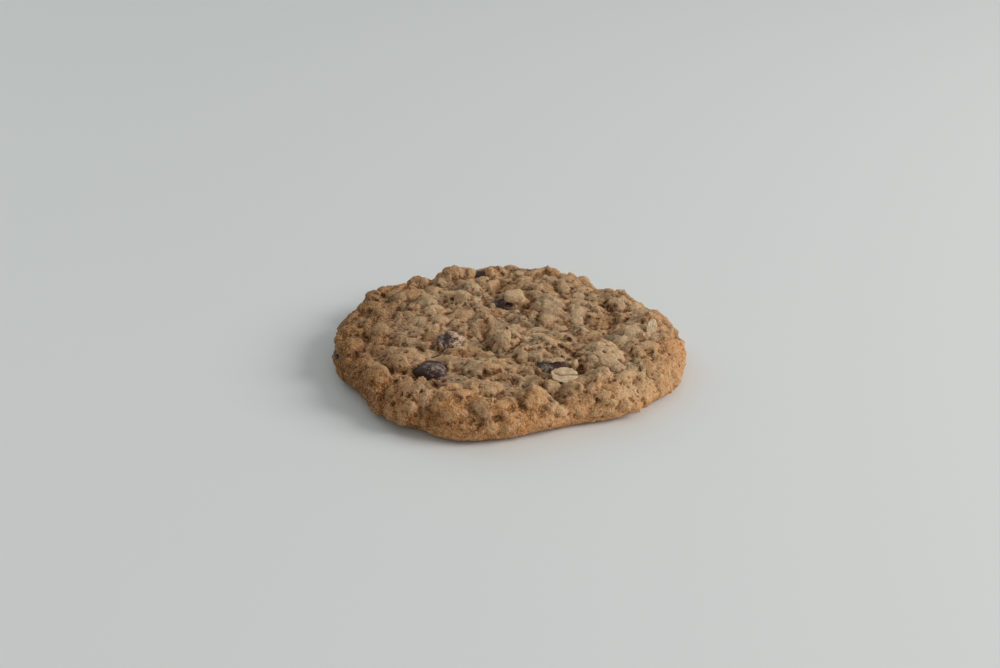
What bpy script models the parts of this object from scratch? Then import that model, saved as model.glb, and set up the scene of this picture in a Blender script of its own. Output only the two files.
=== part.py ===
"""A large oatmeal cookie with chocolate chips, lying on its flat baked base.

Metres, +Z up. The base lies on z = 0 with the middle of the cookie's box at the origin, and
-Y is the front. The cookie is one solid of dough: a thick, uneven disc covered in clumps, with
single mounds and hollows, and with dough-coated oat flakes fused to its top and shoulder. Each
chocolate chip is a solid of its own and sits in an open pocket of the dough.
"""

import bisect
import math
import random

import bmesh
import bpy
from mathutils import Matrix, Vector, noise

MM = 0.001

# The disc, before its relief.
HALF_WIDTH = 58.0 * MM
HALF_DEPTH = 54.0 * MM
CROWN_HEIGHT = 12.4 * MM  # the middle of the top
SHOULDER_HEIGHT = 11.7 * MM  # where the top begins to turn down
WAIST_HEIGHT = 4.0 * MM  # where the side stands out furthest
SHOULDER_SHARE = 0.85  # of the radius at which the top begins to turn down
FOOT_TUCK = 0.075  # share of the radius by which the base is smaller than the waist

# Where the outline leaves its oval: (bearing from +X in degrees, reach, spread in degrees).
OUTLINE_SWELLS = (
    (336, 2.0 * MM, 15),
    (292, -3.6 * MM, 18),
    (250, 3.3 * MM, 20),
    (207, -2.0 * MM, 14),
    (168, -2.0 * MM, 13),
    (108, 1.4 * MM, 6),
    (73, -1.0 * MM, 14),
    (42, -6.0 * MM, 18),
    (20, -1.2 * MM, 7),
    (4, 0.8 * MM, 8),
)

# Mounds and hollows that show singly on the top: (x, y, width, height).
MOUNDS = (
    (-49.7 * MM, -13.0 * MM, 7.5 * MM, 1.5 * MM),
    (-33.5 * MM, -20.5 * MM, 11.5 * MM, 1.7 * MM),
    (-39.5 * MM, -31.5 * MM, 9.0 * MM, 1.4 * MM),
    (-28.0 * MM, -39.0 * MM, 11.0 * MM, 1.8 * MM),
    (-18.0 * MM, 44.5 * MM, 11.0 * MM, 2.7 * MM),
    (4.5 * MM, 21.5 * MM, 7.5 * MM, 1.6 * MM),
    (15.5 * MM, 11.5 * MM, 15.0 * MM, 1.5 * MM),
    (10.0 * MM, -11.5 * MM, 17.0 * MM, 1.3 * MM),
    (31.0 * MM, -17.5 * MM, 13.5 * MM, 1.5 * MM),
    (8.0 * MM, -41.0 * MM, 9.0 * MM, 1.8 * MM),
    (-5.0 * MM, -28.0 * MM, 10.0 * MM, 1.2 * MM),
    (-5.0 * MM, -38.0 * MM, 10.0 * MM, 1.1 * MM),
    (-14.0 * MM, -46.0 * MM, 15.0 * MM, 1.2 * MM),
    (34.0 * MM, -38.0 * MM, 16.0 * MM, 1.0 * MM),
    (47.0 * MM, -5.0 * MM, 12.0 * MM, 1.0 * MM),
    (37.0 * MM, 23.0 * MM, 12.0 * MM, 1.4 * MM),
    (18.0 * MM, 35.0 * MM, 9.0 * MM, 1.4 * MM),
    (-33.0 * MM, 31.0 * MM, 13.0 * MM, 1.3 * MM),
    (-14.0 * MM, 6.5 * MM, 15.0 * MM, 0.7 * MM),
    (-37.0 * MM, 6.0 * MM, 9.0 * MM, 1.0 * MM),
)
HOLLOWS = (
    (7.5 * MM, 3.5 * MM, 5.5 * MM, -1.8 * MM),
    (19.0 * MM, -0.5 * MM, 6.0 * MM, -1.4 * MM),
    (-5.5 * MM, -10.5 * MM, 7.5 * MM, -1.9 * MM),
    (35.5 * MM, 4.0 * MM, 9.5 * MM, -1.8 * MM),
    (21.5 * MM, -28.5 * MM, 6.5 * MM, -2.0 * MM),
    (-34.5 * MM, 13.0 * MM, 6.0 * MM, -1.6 * MM),
    (-4.0 * MM, 29.0 * MM, 8.5 * MM, -1.8 * MM),
    (27.0 * MM, -44.0 * MM, 5.0 * MM, -1.2 * MM),
    (-24.0 * MM, -49.5 * MM, 5.5 * MM, -2.0 * MM),
    (-22.0 * MM, -16.0 * MM, 6.0 * MM, -1.3 * MM),
    (26.0 * MM, 18.0 * MM, 8.0 * MM, -1.2 * MM),
)

# Clumps of dough over the whole skin, with creases between them: (length, height).
CLUMPS = (
    (11.5 * MM, 2.3 * MM),
    (6.8 * MM, 1.5 * MM),
)
CLUMP_WARP = 0.35  # how far noise draws the clumps out of their round shape
CLUMP_WARP_DETAIL = 1.7  # how much finer that noise is than the clumps
CLUMP_CROWN = 0.45  # share of a clump's height that stands above the plain disc
CLUMP_FALL = 1.5  # how steeply a clump falls away from its middle
NOISE_SEED = 5
SWELL_LENGTH = 20.0 * MM
SWELL_HEIGHT = 0.8 * MM

# Oat flakes, in their coat of dough.
FLAKE_COUNT = 84
FLAKE_LENGTH = (5.5 * MM, 9.0 * MM)
FLAKE_THICKNESS = (1.5 * MM, 2.4 * MM)
FLAKE_ASPECT = (0.68, 0.9)
FLAKE_TILT = 20  # degrees, at most, away from the surface
FLAKE_UNEVEN = 0.26  # share of a flake's size by which noise moves its edge
FLAKE_UNEVEN_DETAIL = 1.4
FLAKE_DRIFT = 9.0  # how far apart, at most, two flakes take their noise
FLAKE_CUP = 0.22  # share of its thickness by which a flake's edge droops
FLAKE_RISE = (-0.1, 0.2)  # share of its thickness by which a flake stands off the skin
FLAKE_SEED = 31
FLAKE_CLEARANCE = 0.5 * MM  # above the base
SKIN_END = 0.73  # share of the skin, from the top's middle, that carries flakes
GOLDEN_ANGLE = math.radians(137.508)

# Chips: (x, y, height of the middle, length, width, turn and outward lean in degrees).
CHIPS = (
    (-24.0 * MM, -29.0 * MM, 10.9 * MM, 12.2 * MM, 10.0 * MM, 12, 0),
    (14.2 * MM, -26.5 * MM, 10.6 * MM, 10.4 * MM, 9.0 * MM, 20, 0),
    (-17.6 * MM, -9.6 * MM, 10.8 * MM, 10.0 * MM, 9.2 * MM, 60, 0),
    (-0.8 * MM, 17.4 * MM, 10.3 * MM, 8.8 * MM, 8.0 * MM, -15, 0),
    (-52.6 * MM, -8.9 * MM, 7.0 * MM, 8.2 * MM, 7.4 * MM, 100, 75),
    (-9.0 * MM, 43.5 * MM, 9.1 * MM, 7.6 * MM, 6.8 * MM, 5, 25),
)
CHIP_THICKNESS = 6.4 * MM
CHIP_SQUARENESS = 0.82  # below 1, the chip's crown is flatter than an egg's
CHIP_CLEARANCE = 0.9 * MM  # between a chip and the middle of a flake's edge
CHIP_COLLAR = 1.5 * MM  # round a chip, in which the relief dies away
POCKET_GAP = 0.3 * MM

SKIN_CELLS = 6  # subdivisions of the disc's ball
FLAKE_CELLS = 2
CHIP_CELLS = 3
DOUGH_TRIANGLES = 9800  # at most, before the pockets are cut
BASE_WEIGHT = 0.05  # share of its true area for which the base gets faces
PROFILE_STEPS = 48
FLAT_ANGLE = math.radians(0.05)
BASE_MARGIN = 0.02 * MM


def meridian():
    """(share of the radius, height, outward tilt) along the disc's section, top to base."""
    points = []
    for i in range(PROFILE_STEPS):
        t = i / PROFILE_STEPS
        height = CROWN_HEIGHT + (SHOULDER_HEIGHT - CROWN_HEIGHT) * t * t
        points.append((SHOULDER_SHARE * t, height, 0.0))
    for i in range(PROFILE_STEPS):
        turn = math.pi / 2 * i / PROFILE_STEPS
        share = SHOULDER_SHARE + (1 - SHOULDER_SHARE) * math.sin(turn)
        height = WAIST_HEIGHT + (SHOULDER_HEIGHT - WAIST_HEIGHT) * math.cos(turn)
        points.append((share, height, turn))
    for i in range(PROFILE_STEPS + 1):
        turn = math.pi / 2 * i / PROFILE_STEPS
        share = 1 - FOOT_TUCK * (1 - math.cos(turn))
        height = WAIST_HEIGHT * (1 - math.sin(turn))
        points.append((share, height, math.pi / 2 + turn))
    points.append((0.0, 0.0, math.pi))
    return points


MERIDIAN = meridian()


def skin_areas():
    """The area of the disc's skin from the top's middle to each point of the section."""
    radius = (HALF_WIDTH + HALF_DEPTH) / 2
    total = [0.0]
    for (share_a, height_a, _), (share_b, height_b, _) in zip(MERIDIAN, MERIDIAN[1:]):
        run = math.hypot((share_b - share_a) * radius, height_b - height_a)
        area = math.pi * (share_a + share_b) * radius * run
        if height_a == height_b == 0.0:
            area *= BASE_WEIGHT
        total.append(total[-1] + area)
    return [area / total[-1] for area in total]


SKIN_AREAS = skin_areas()


def rim_radius(bearing):
    """How far the outline lies from the middle, at a bearing in radians."""
    across, along = math.cos(bearing), math.sin(bearing)
    radius = HALF_WIDTH * HALF_DEPTH / math.hypot(HALF_DEPTH * across, HALF_WIDTH * along)
    for middle, reach, spread in OUTLINE_SWELLS:
        away = (math.degrees(bearing) - middle + 180) % 360 - 180
        radius += reach * math.exp(-((away / spread) ** 2))
    return radius


def bump(x, y, mound):
    """The height that a mound or a hollow gives the point x, y."""
    middle_x, middle_y, width, height = mound
    away = math.hypot(x - middle_x, y - middle_y) / (width / 2)
    return height * math.exp(-(away**2))


def relief(point):
    """How far the skin stands out of the plain disc at a point of it."""
    out = noise.noise(point / SWELL_LENGTH) * SWELL_HEIGHT
    out += sum(bump(point.x, point.y, mound) for mound in MOUNDS + HOLLOWS)
    for length, height in CLUMPS:
        place = point / length
        place += noise.noise_vector(place * CLUMP_WARP_DETAIL) * CLUMP_WARP
        nearest = noise.voronoi(place)[0][0]
        out += (CLUMP_CROWN - nearest * nearest * CLUMP_FALL) * height
    for chip in CHIPS:
        past = (point - Vector(chip[:3])).length - (chip[3] + chip[4]) / 4
        out *= min(1.0, max(0.0, past / CHIP_COLLAR))
    return out


def skin(share, bearing):
    """A point of the dough's skin, and the way out of it there. share runs 0 to 1, top to base."""
    i = min(bisect.bisect_right(SKIN_AREAS, share), len(SKIN_AREAS) - 1)
    start, end = SKIN_AREAS[i - 1], SKIN_AREAS[i]
    part = (share - start) / (end - start)
    reach, height, turn = (a + (b - a) * part for a, b in zip(MERIDIAN[i - 1], MERIDIAN[i]))
    radius = reach * rim_radius(bearing)
    point = Vector((radius * math.cos(bearing), radius * math.sin(bearing), height))
    side = math.sin(turn)
    outward = Vector((side * math.cos(bearing), side * math.sin(bearing), math.cos(turn)))
    above_base = min(1.0, height / WAIST_HEIGHT)
    return point + outward * relief(point) * above_base, outward


def plain_material(name, colour, roughness):
    """A plain Principled material."""
    material = bpy.data.materials.new(name)
    material.use_nodes = True
    shader = material.node_tree.nodes["Principled BSDF"]
    shader.inputs["Base Color"].default_value = (*colour, 1)
    shader.inputs["Roughness"].default_value = roughness
    shader.inputs["Metallic"].default_value = 0.0
    return material


def new_collection(name):
    collection = bpy.data.collections.new(name)
    bpy.context.scene.collection.children.link(collection)
    return collection


def object_of(bm, name, collection, material=None):
    """The bmesh as an object of that name in the collection."""
    mesh = bpy.data.meshes.new(name)
    bm.to_mesh(mesh)
    bm.free()
    if material:
        mesh.materials.append(material)
    piece = bpy.data.objects.new(name, mesh)
    collection.objects.link(piece)
    return piece


def ball(cells):
    """A ball of radius 1 with evenly spread faces."""
    bm = bmesh.new()
    bmesh.ops.create_icosphere(bm, subdivisions=cells, radius=1)
    return bm


def dough_disc(collection, material):
    """The ball laid over the disc's section, so that its faces are of even size on the skin."""
    bm = ball(SKIN_CELLS)
    for vertex in bm.verts:
        bearing = math.atan2(vertex.co.y, vertex.co.x)
        share = min(1.0, max(0.0, (1 - vertex.co.z) / 2))
        vertex.co, _ = skin(share, bearing)
    base_points = [v for v in bm.verts if v.co.z < BASE_MARGIN]
    base_edges = [e for e in bm.edges if all(v.co.z < BASE_MARGIN for v in e.verts)]
    bm.normal_update()
    bmesh.ops.dissolve_limit(bm, angle_limit=FLAT_ANGLE, verts=base_points, edges=base_edges)
    return object_of(bm, "cookie", collection, material)


def clear_of_chips(point, half_length):
    """Whether a flake whose middle is at the point leaves every chip bare."""
    for x, y, z, length, width, _, _ in CHIPS:
        away = (point - Vector((x, y, max(z, point.z)))).length
        if away < (length + width) / 4 + half_length + CHIP_CLEARANCE:
            return False
    return True


def flake(length, width, thickness, place, draw, collection):
    """An oat flake: a thick oval with an uneven edge, slightly cupped, clear of the base."""
    bm = ball(FLAKE_CELLS)
    apart = [draw.uniform(-FLAKE_DRIFT, FLAKE_DRIFT) for _ in range(2)]
    drift = Vector((*apart, 0))
    for vertex in bm.verts:
        uneven = 1 + FLAKE_UNEVEN * noise.noise(vertex.co * FLAKE_UNEVEN_DETAIL + drift)
        x, y, z = vertex.co * uneven
        cup = FLAKE_CUP * thickness * (x * x + y * y - 0.5)
        vertex.co = (x * length / 2, y * width / 2, z * thickness / 2 - cup)
    bm.transform(place)
    lowest = min(vertex.co.z for vertex in bm.verts)
    bmesh.ops.translate(bm, verts=bm.verts, vec=(0, 0, max(0.0, FLAKE_CLEARANCE - lowest)))
    return object_of(bm, "flake", collection)


def lay_flakes(collection):
    """Flakes over the top and the side, evenly spread along a spiral, the largest first."""
    draw = random.Random(FLAKE_SEED)
    shortest, longest = FLAKE_LENGTH
    lengths = sorted((draw.uniform(shortest, longest) for _ in range(FLAKE_COUNT)), reverse=True)
    places = list(range(FLAKE_COUNT))
    draw.shuffle(places)
    for length, place in zip(lengths, places):
        share = SKIN_END * (place + 0.5) / FLAKE_COUNT
        point, outward = skin(share, place * GOLDEN_ANGLE)
        turn = Matrix.Rotation(draw.uniform(0, math.tau), 3, "Z")
        lean = Matrix.Rotation(math.radians(draw.uniform(0, FLAKE_TILT)), 3, "X")
        thickness = draw.uniform(*FLAKE_THICKNESS)
        width = length * draw.uniform(*FLAKE_ASPECT)
        if not clear_of_chips(point, width / 2):
            continue
        upright = outward.to_track_quat("Z", "Y").to_matrix()
        middle = point + outward * draw.uniform(*FLAKE_RISE) * thickness
        laid = Matrix.Translation(middle) @ (upright @ turn @ lean).to_4x4()
        flake(length, width, thickness, laid, draw, collection)


def chip_shape(length, width, thickness):
    """A chocolate chip softened in the oven: an oval with a flattened crown."""
    bm = ball(CHIP_CELLS)
    for vertex in bm.verts:
        x, y, z = vertex.co
        flatter = math.copysign(abs(z) ** CHIP_SQUARENESS, z)
        vertex.co = (x * length / 2, y * width / 2, flatter * thickness / 2)
    return bm


def chip_place(x, y, z, turn, lean):
    """Where a chip lies: turned about its crown, then leaned away from the cookie's middle."""
    tangent = Vector((-y, x, 0))
    leaned = Matrix.Rotation(math.radians(lean), 4, tangent)
    turned = Matrix.Rotation(math.radians(turn), 4, "Z")
    return Matrix.Translation((x, y, z)) @ leaned @ turned


def lay_chips(collection, cutters, material):
    """The chips, and a cutter for the pocket of each, a little larger all round."""
    made = []
    for number, (x, y, z, length, width, turn, lean) in enumerate(CHIPS, 1):
        place = chip_place(x, y, z, turn, lean)
        shape = chip_shape(length, width, CHIP_THICKNESS)
        chip = object_of(shape, f"chip_{number}", collection, material)
        chip.matrix_world = place
        chip.data.shade_smooth()
        room = 2 * POCKET_GAP
        hollow = chip_shape(length + room, width + room, CHIP_THICKNESS + room)
        cutter = object_of(hollow, f"pocket_{number}", cutters)
        cutter.matrix_world = place
        cutter.hide_render = True
        cutter.display_type = "WIRE"
        made.append(chip)
    return made


def apply_boolean(piece, operation, others):
    """Joins the collection's objects to the piece, or cuts them from it."""
    modifier = piece.modifiers.new(operation.lower(), "BOOLEAN")
    modifier.operand_type = "COLLECTION"
    modifier.collection = others
    modifier.operation = operation
    modifier.solver = "MANIFOLD"
    bpy.context.view_layer.objects.active = piece
    bpy.ops.object.modifier_apply(modifier=modifier.name)


def keep_outer_skin(piece):
    """Drops loose scraps and fills sealed hollows, which leaves the largest skin alone."""
    bm = bmesh.new()
    bm.from_mesh(piece.data)
    largest = set()
    unseen = set(bm.verts)
    while unseen:
        island = set()
        front = [unseen.pop()]
        while front:
            vertex = front.pop()
            island.add(vertex)
            for edge in vertex.link_edges:
                other = edge.other_vert(vertex)
                if other in unseen:
                    unseen.remove(other)
                    front.append(other)
        largest = max(largest, island, key=len)
    others = [vertex for vertex in bm.verts if vertex not in largest]
    bmesh.ops.delete(bm, geom=others, context="VERTS")
    bm.to_mesh(piece.data)
    bm.free()


def thin_out(piece):
    """Merges the short edges that the union left, and leaves the flat base as it is."""
    mesh = piece.data
    triangles = sum(len(face.vertices) - 2 for face in mesh.polygons)
    above = piece.vertex_groups.new(name="above_base")
    above.add([v.index for v in mesh.vertices if v.co.z > BASE_MARGIN], 1.0, "REPLACE")
    modifier = piece.modifiers.new("thin_out", "DECIMATE")
    modifier.decimate_type = "COLLAPSE"
    modifier.ratio = min(1.0, DOUGH_TRIANGLES / triangles)
    modifier.vertex_group = above.name
    bpy.context.view_layer.objects.active = piece
    bpy.ops.object.modifier_apply(modifier=modifier.name)
    piece.vertex_groups.clear()


def remove_with_objects(collection):
    for piece in list(collection.objects):
        bpy.data.objects.remove(piece)
    bpy.data.collections.remove(collection)


def centre_on_origin(piece, others):
    """Hangs all the pieces on an empty that brings the middle of the first one to the origin."""
    corners = [piece.matrix_world @ Vector(corner) for corner in piece.bound_box]
    middle_x = sum(corner.x for corner in corners) / len(corners)
    middle_y = sum(corner.y for corner in corners) / len(corners)
    root = bpy.data.objects.new("cookie_root", None)
    piece.users_collection[0].objects.link(root)
    for child in [piece, *others]:
        child.parent = root
    root.location = (-middle_x, -middle_y, 0)


def main():
    for old in list(bpy.data.objects):
        bpy.data.objects.remove(old)
    noise.seed_set(NOISE_SEED)
    parts = new_collection("oatmeal_cookie")
    pockets = new_collection("pocket_cutters")
    flakes = new_collection("oat_flakes")
    dough = plain_material("baked_dough", (0.42, 0.25, 0.11), 0.8)
    chocolate = plain_material("dark_chocolate", (0.035, 0.018, 0.015), 0.45)

    cookie = dough_disc(parts, dough)
    lay_flakes(flakes)
    chips = lay_chips(parts, pockets, chocolate)
    bpy.context.view_layer.update()
    apply_boolean(cookie, "UNION", flakes)
    keep_outer_skin(cookie)
    thin_out(cookie)
    remove_with_objects(flakes)
    apply_boolean(cookie, "DIFFERENCE", pockets)
    remove_with_objects(pockets)
    centre_on_origin(cookie, chips)


main()
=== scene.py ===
"""A large oatmeal cookie with chocolate chips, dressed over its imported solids.

Metres, +Z up, the base on z = 0 and -Y towards the camera. The dough is one mesh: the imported
solid with lumps, oat flakes, clumps and crumbs fused to it, then pitted and roughened. What shows
singly in the picture is named by the place (x, y) in the 1000 x 668 picture where it is seen, and
is laid on the dough along the camera's line of sight.
"""

import math
import random
from collections import namedtuple

import bmesh
import bpy
import numpy as np
from mathutils import Matrix, Vector, kdtree, noise
from mathutils.bvhtree import BVHTree


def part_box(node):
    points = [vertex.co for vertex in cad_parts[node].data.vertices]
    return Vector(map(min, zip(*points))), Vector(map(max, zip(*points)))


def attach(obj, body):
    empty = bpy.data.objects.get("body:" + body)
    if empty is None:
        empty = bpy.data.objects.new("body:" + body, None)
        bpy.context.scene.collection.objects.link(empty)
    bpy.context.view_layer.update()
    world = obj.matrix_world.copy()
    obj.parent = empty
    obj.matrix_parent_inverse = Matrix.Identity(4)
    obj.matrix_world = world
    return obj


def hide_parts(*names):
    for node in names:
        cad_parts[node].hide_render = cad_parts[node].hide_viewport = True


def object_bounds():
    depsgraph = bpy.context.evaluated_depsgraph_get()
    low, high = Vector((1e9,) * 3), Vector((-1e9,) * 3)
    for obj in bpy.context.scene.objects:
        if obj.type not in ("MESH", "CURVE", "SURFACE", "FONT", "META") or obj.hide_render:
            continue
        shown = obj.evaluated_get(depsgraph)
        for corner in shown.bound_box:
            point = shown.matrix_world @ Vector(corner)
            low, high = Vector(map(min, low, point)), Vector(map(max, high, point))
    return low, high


MM = 0.001
UP = Vector((0, 0, 1))

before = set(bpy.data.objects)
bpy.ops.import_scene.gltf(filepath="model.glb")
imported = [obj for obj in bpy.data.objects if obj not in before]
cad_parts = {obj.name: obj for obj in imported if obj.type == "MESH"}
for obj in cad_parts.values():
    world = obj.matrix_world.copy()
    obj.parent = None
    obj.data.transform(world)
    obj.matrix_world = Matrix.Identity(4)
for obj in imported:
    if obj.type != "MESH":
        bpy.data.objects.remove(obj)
CAD_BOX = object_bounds()

PICTURE_WIDTH = 1000
PICTURE_HEIGHT = 668
LENS_MM = 50
SENSOR_MM = 36
CAMERA_PLACE = Vector((-0.00281, -0.4072, 0.2175))
CAMERA_TILT = math.radians(63)
LEAST_SLANT = 0.35  # a sight line that grazes the skin counts as meeting it so steeply
MIDDLE_HEIGHT = 8 * MM

# Lights: (name, place, size in metres, power in watts, colour).
LIGHTS = (
    ("window", (1.33, -0.22, 0.80), 0.9, 16.6, (1.0, 0.965, 0.93)),
    ("far_window", (-0.9, 0.9, 0.8), 1.1, 2.9, (0.9, 0.97, 1.0)),
)
SURROUND_COLOUR = (0.95, 0.99, 0.97, 1)
SURROUND_LIGHT = (0.26, 0.47)  # from the darker side to the brighter
BRIGHT_SIDE = (0.85, -0.5, 0)
FLOOR_COLOUR = (0.79, 0.81, 0.81, 1)
FLOOR_REACH = 3

# The dough's mesh.
MERGED = 1e-7  # how near points are merged
CORE_SHRINK = 0.45 * MM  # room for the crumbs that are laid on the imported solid
CORE_CELL = 1.1 * MM
CORE_SMOOTHING = 4
FILLING_SCALE = (1.12, 1.12, 0.9)  # the core's pockets are filled with wider, lower chips
FILLING_DROP = 0.9 * MM
BODY_CELL = 0.7 * MM
BODY_SMOOTHING = 2
LUMP_RISE = 1.55  # by which the rises and depths in the lists are drawn out
HOLLOW_DEPTH = 0.9
CREASE_DEPTH = 0.5
DIP = 1.2  # mm: hollows from that depth on are kept free of most strewn pieces
BLOB_CLEARANCE = 0.3 * MM  # above the base
BLOB_DETAIL = 1.6
DOUGH_CELL = 0.42 * MM
DOUGH_SMOOTHING = 1
DOUGH_TRIANGLES = 194000
TOP_MARGIN = 0.3 * MM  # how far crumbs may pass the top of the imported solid
NOISE_SEED = 11

# Single lumps: (picture x, y, length, width, rise in mm, tint, and a turn in degrees if any).
# On the back-left rim the grey tint is painted shade.
LUMPS = (
    (352, 344, 7, 6.4, 1.9, "orange"), (404, 359, 12.5, 10.5, 1.6, "yellow", 10),
    (376, 374, 8.6, 8, 1.7, "orange", 20), (417, 393, 11.5, 9.4, 1.8, "plain"),
    (379, 348, 5, 3.4, 1.2, "orange", 10), (388, 357, 3, 1.6, 0.9, "plain", 50),
    (421, 423, 3, 2.8, 0.9, "plain"), (472, 365, 3.2, 4.4, 1.3, "yellow", -20),
    (494, 366, 7.4, 3.6, 1.2, "orange"), (513, 369, 3, 2.8, 1, "yellow"),
    (531, 371, 2.8, 2, 0.8, "pale", 10), (494, 387, 8.2, 4.8, 1.2, "orange", 5),
    (475, 382, 3, 2.4, 0.8, "pale"), (537, 396, 9.2, 8.6, 1.9, "orange", 20),
    (485, 408, 8, 6.6, 1.3, "plain", 10), (515, 418, 7.4, 5, 1.2, "orange", -10),
    (508, 427, 4.2, 3.4, 0.8, "yellow"), (493, 427, 4.6, 4, 0.8, "orange"),
    (453, 411, 8, 7, 1.2, "orange"), (553, 406, 2.8, 4.6, 0.9, "yellow", -15),
    (537, 355, 9, 7, 1.3, "plain", 15), (519, 349, 7, 2.8, 1.2, "plain", 38),
    (551, 341, 8, 3.6, 1.1, "plain", -8), (606, 352, 12.5, 12, 1.35, "white", 10),
    (590, 347, 5, 5, 1, "white"), (629, 375, 9, 5, 1, "orange", 20),
    (513, 297, 7.4, 8.6, 1.7, "white"), (492, 285, 5, 5.4, 1.2, "yellow", -30),
    (552, 305, 11.5, 13, 1.6, "plain"), (545, 319, 6, 5, 1.2, "yellow", 20),
    (525, 321, 7, 6, 1, "grey", -20), (494, 270, 6.6, 6, 1.2, "orange"),
    (511, 270, 6.4, 5.4, 1.3, "orange"), (463, 296, 5, 6, 0.9, "plain", 30),
    (461, 316, 10, 9, 1.2, "yellow"), (562, 287, 4.2, 8, 1.4, "pale", 5),
    (381, 311, 5.2, 6, 1.1, "yellow"), (400, 296, 6, 6.4, 1.2, "pale", 20),
    (414, 294, 9, 9, 1, "orange"), (417, 320, 7.2, 6, 1.1, "pale"),
    (386, 330, 5.6, 4.6, 1, "pale"), (353, 330, 5.6, 4, 1.1, "yellow", 15),
    (353, 313, 5, 4, 0.9, "grey"), (413, 279, 6, 5, 1.1, "orange"),
    (425, 280, 3.4, 3.4, 1, "orange"), (357, 301, 4, 4, 1, "orange"),
    (449, 271, 6.4, 6, 2.1, "orange"), (580, 302, 7.4, 6, 0.9, "plain"),
    (577, 313, 7, 8.6, 1.4, "white"), (568, 317, 5, 5, 0.9, "pale"),
    (583, 289, 5.2, 3.4, 0.9, "yellow", 10), (620, 305, 6.4, 6, 1.3, "white"),
    (657, 317, 3.6, 4.6, 1, "yellow"), (668, 325, 4, 4, 0.9, "orange"),
    (633, 329, 8, 7, 1.2, "white", 15), (644, 318, 5, 5, 1, "yellow"), (655, 337, 6, 6, 1, "pale"),
    (576, 276, 6, 4.4, 1, "orange"), (613, 296, 6.4, 5.6, 1, "plain", -20),
    (650, 345, 7.6, 5.4, 0.9, "pale"), (660, 365, 7, 7, 0.8, "orange"),
    (600, 372, 7, 5, 0.9, "plain", 10), (572, 386, 6.4, 4.6, 0.9, "plain", -10),
    (610, 392, 9, 6.6, 0.9, "orange"), (575, 405, 8, 5.6, 0.9, "orange"),
    (459, 394, 6.2, 5.4, 1, "plain"), (444, 386, 5.4, 5, 0.9, "plain", 20),
    (436, 405, 5.6, 4.8, 1, "orange"), (508, 400, 5.6, 4.6, 0.8, "plain"),
    (440, 318, 6.6, 5, 1, "plain"), (432, 335, 6, 4.6, 0.8, "plain"),
    (400, 335, 5.4, 4.4, 0.8, "plain"), (480, 326, 6, 5, 0.8, "grey"),
    (502, 337, 7, 6, 1.3, "pale"), (514, 335, 7, 4.4, 0.8, "plain", 20),
    (435, 297, 6.2, 5.4, 0.9, "plain"), (478, 306, 4.6, 5, 0.8, "plain"),
    (600, 330, 6.4, 5, 0.8, "plain"), (560, 327, 6.4, 5, 0.9, "plain"),
    (540, 287, 6.8, 6.4, 1, "orange"), (526, 278, 5.6, 5.6, 0.8, "orange"),
    (470, 282, 6, 5.4, 1, "yellow"), (553, 274, 7, 5, 0.8, "orange"),
    (370, 305, 5, 4.6, 0.8, "grey", 30), (363, 318, 5, 5, 0.8, "orange"),
    (376, 338, 5, 4, 0.8, "plain"), (363, 362, 6.6, 7.4, 1, "plain"),
    (389, 394, 5.8, 6.6, 0.9, "plain"), (372, 392, 6, 6, 0.8, "orange"),
    (402, 412, 6, 6.4, 0.7, "orange"), (369, 298, 6.4, 6, 2.2, "grey"),
    (379, 293, 6.4, 6, 1.6, "plain", 20), (387, 290, 5.6, 5.4, 1.2, "orange"),
    (362, 306, 5.6, 5.6, 1, "grey"), (403, 286, 6, 5.6, 1, "orange"),
    (441, 275, 5, 5, 1.4, "plain"), (458, 269, 6, 5.6, 1.3, "orange"),
    (467, 270, 4.6, 5, 1.2, "plain"), (551, 271, 5.6, 5, 1.8, "orange"),
    (560, 273, 5, 5, 1.7, "orange"), (584, 282, 6, 5, 1.3, "orange", 20),
    (592, 286, 5.6, 5, 1.1, "plain", 20), (674, 331, 5, 5, 1.3, "orange"),
    (681, 341, 4.4, 5, 0.9, "orange"), (375, 408, 6, 6, 1, "orange"),
    (388, 413, 5.6, 5.6, 1, "orange", 30), (357, 378, 5.6, 5, 0.9, "plain", 40),
    (399, 422, 4.6, 4.6, 0.8, "orange"), (647, 402, 7, 5, 0.9, "orange"),
    (634, 409, 7, 4, 0.7, "orange"), (426, 299, 6, 6.6, 1.1, "pale"),
    (430, 352, 5.4, 4.4, 1, "white"), (484, 286, 4, 5, 1, "pale"), (409, 350, 5, 4, 0.7, "pale"),
    (480, 367, 4, 3.4, 0.9, "pale"), (523, 354, 4, 4.6, 0.9, "pale"),
    (446, 395, 5.4, 3.6, 1, "pale"), (481, 407, 5, 6, 1.1, "white"),
    (501, 403, 4, 4.4, 0.9, "pale"), (598, 384, 3.6, 7, 1.2, "white"),
)

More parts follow.
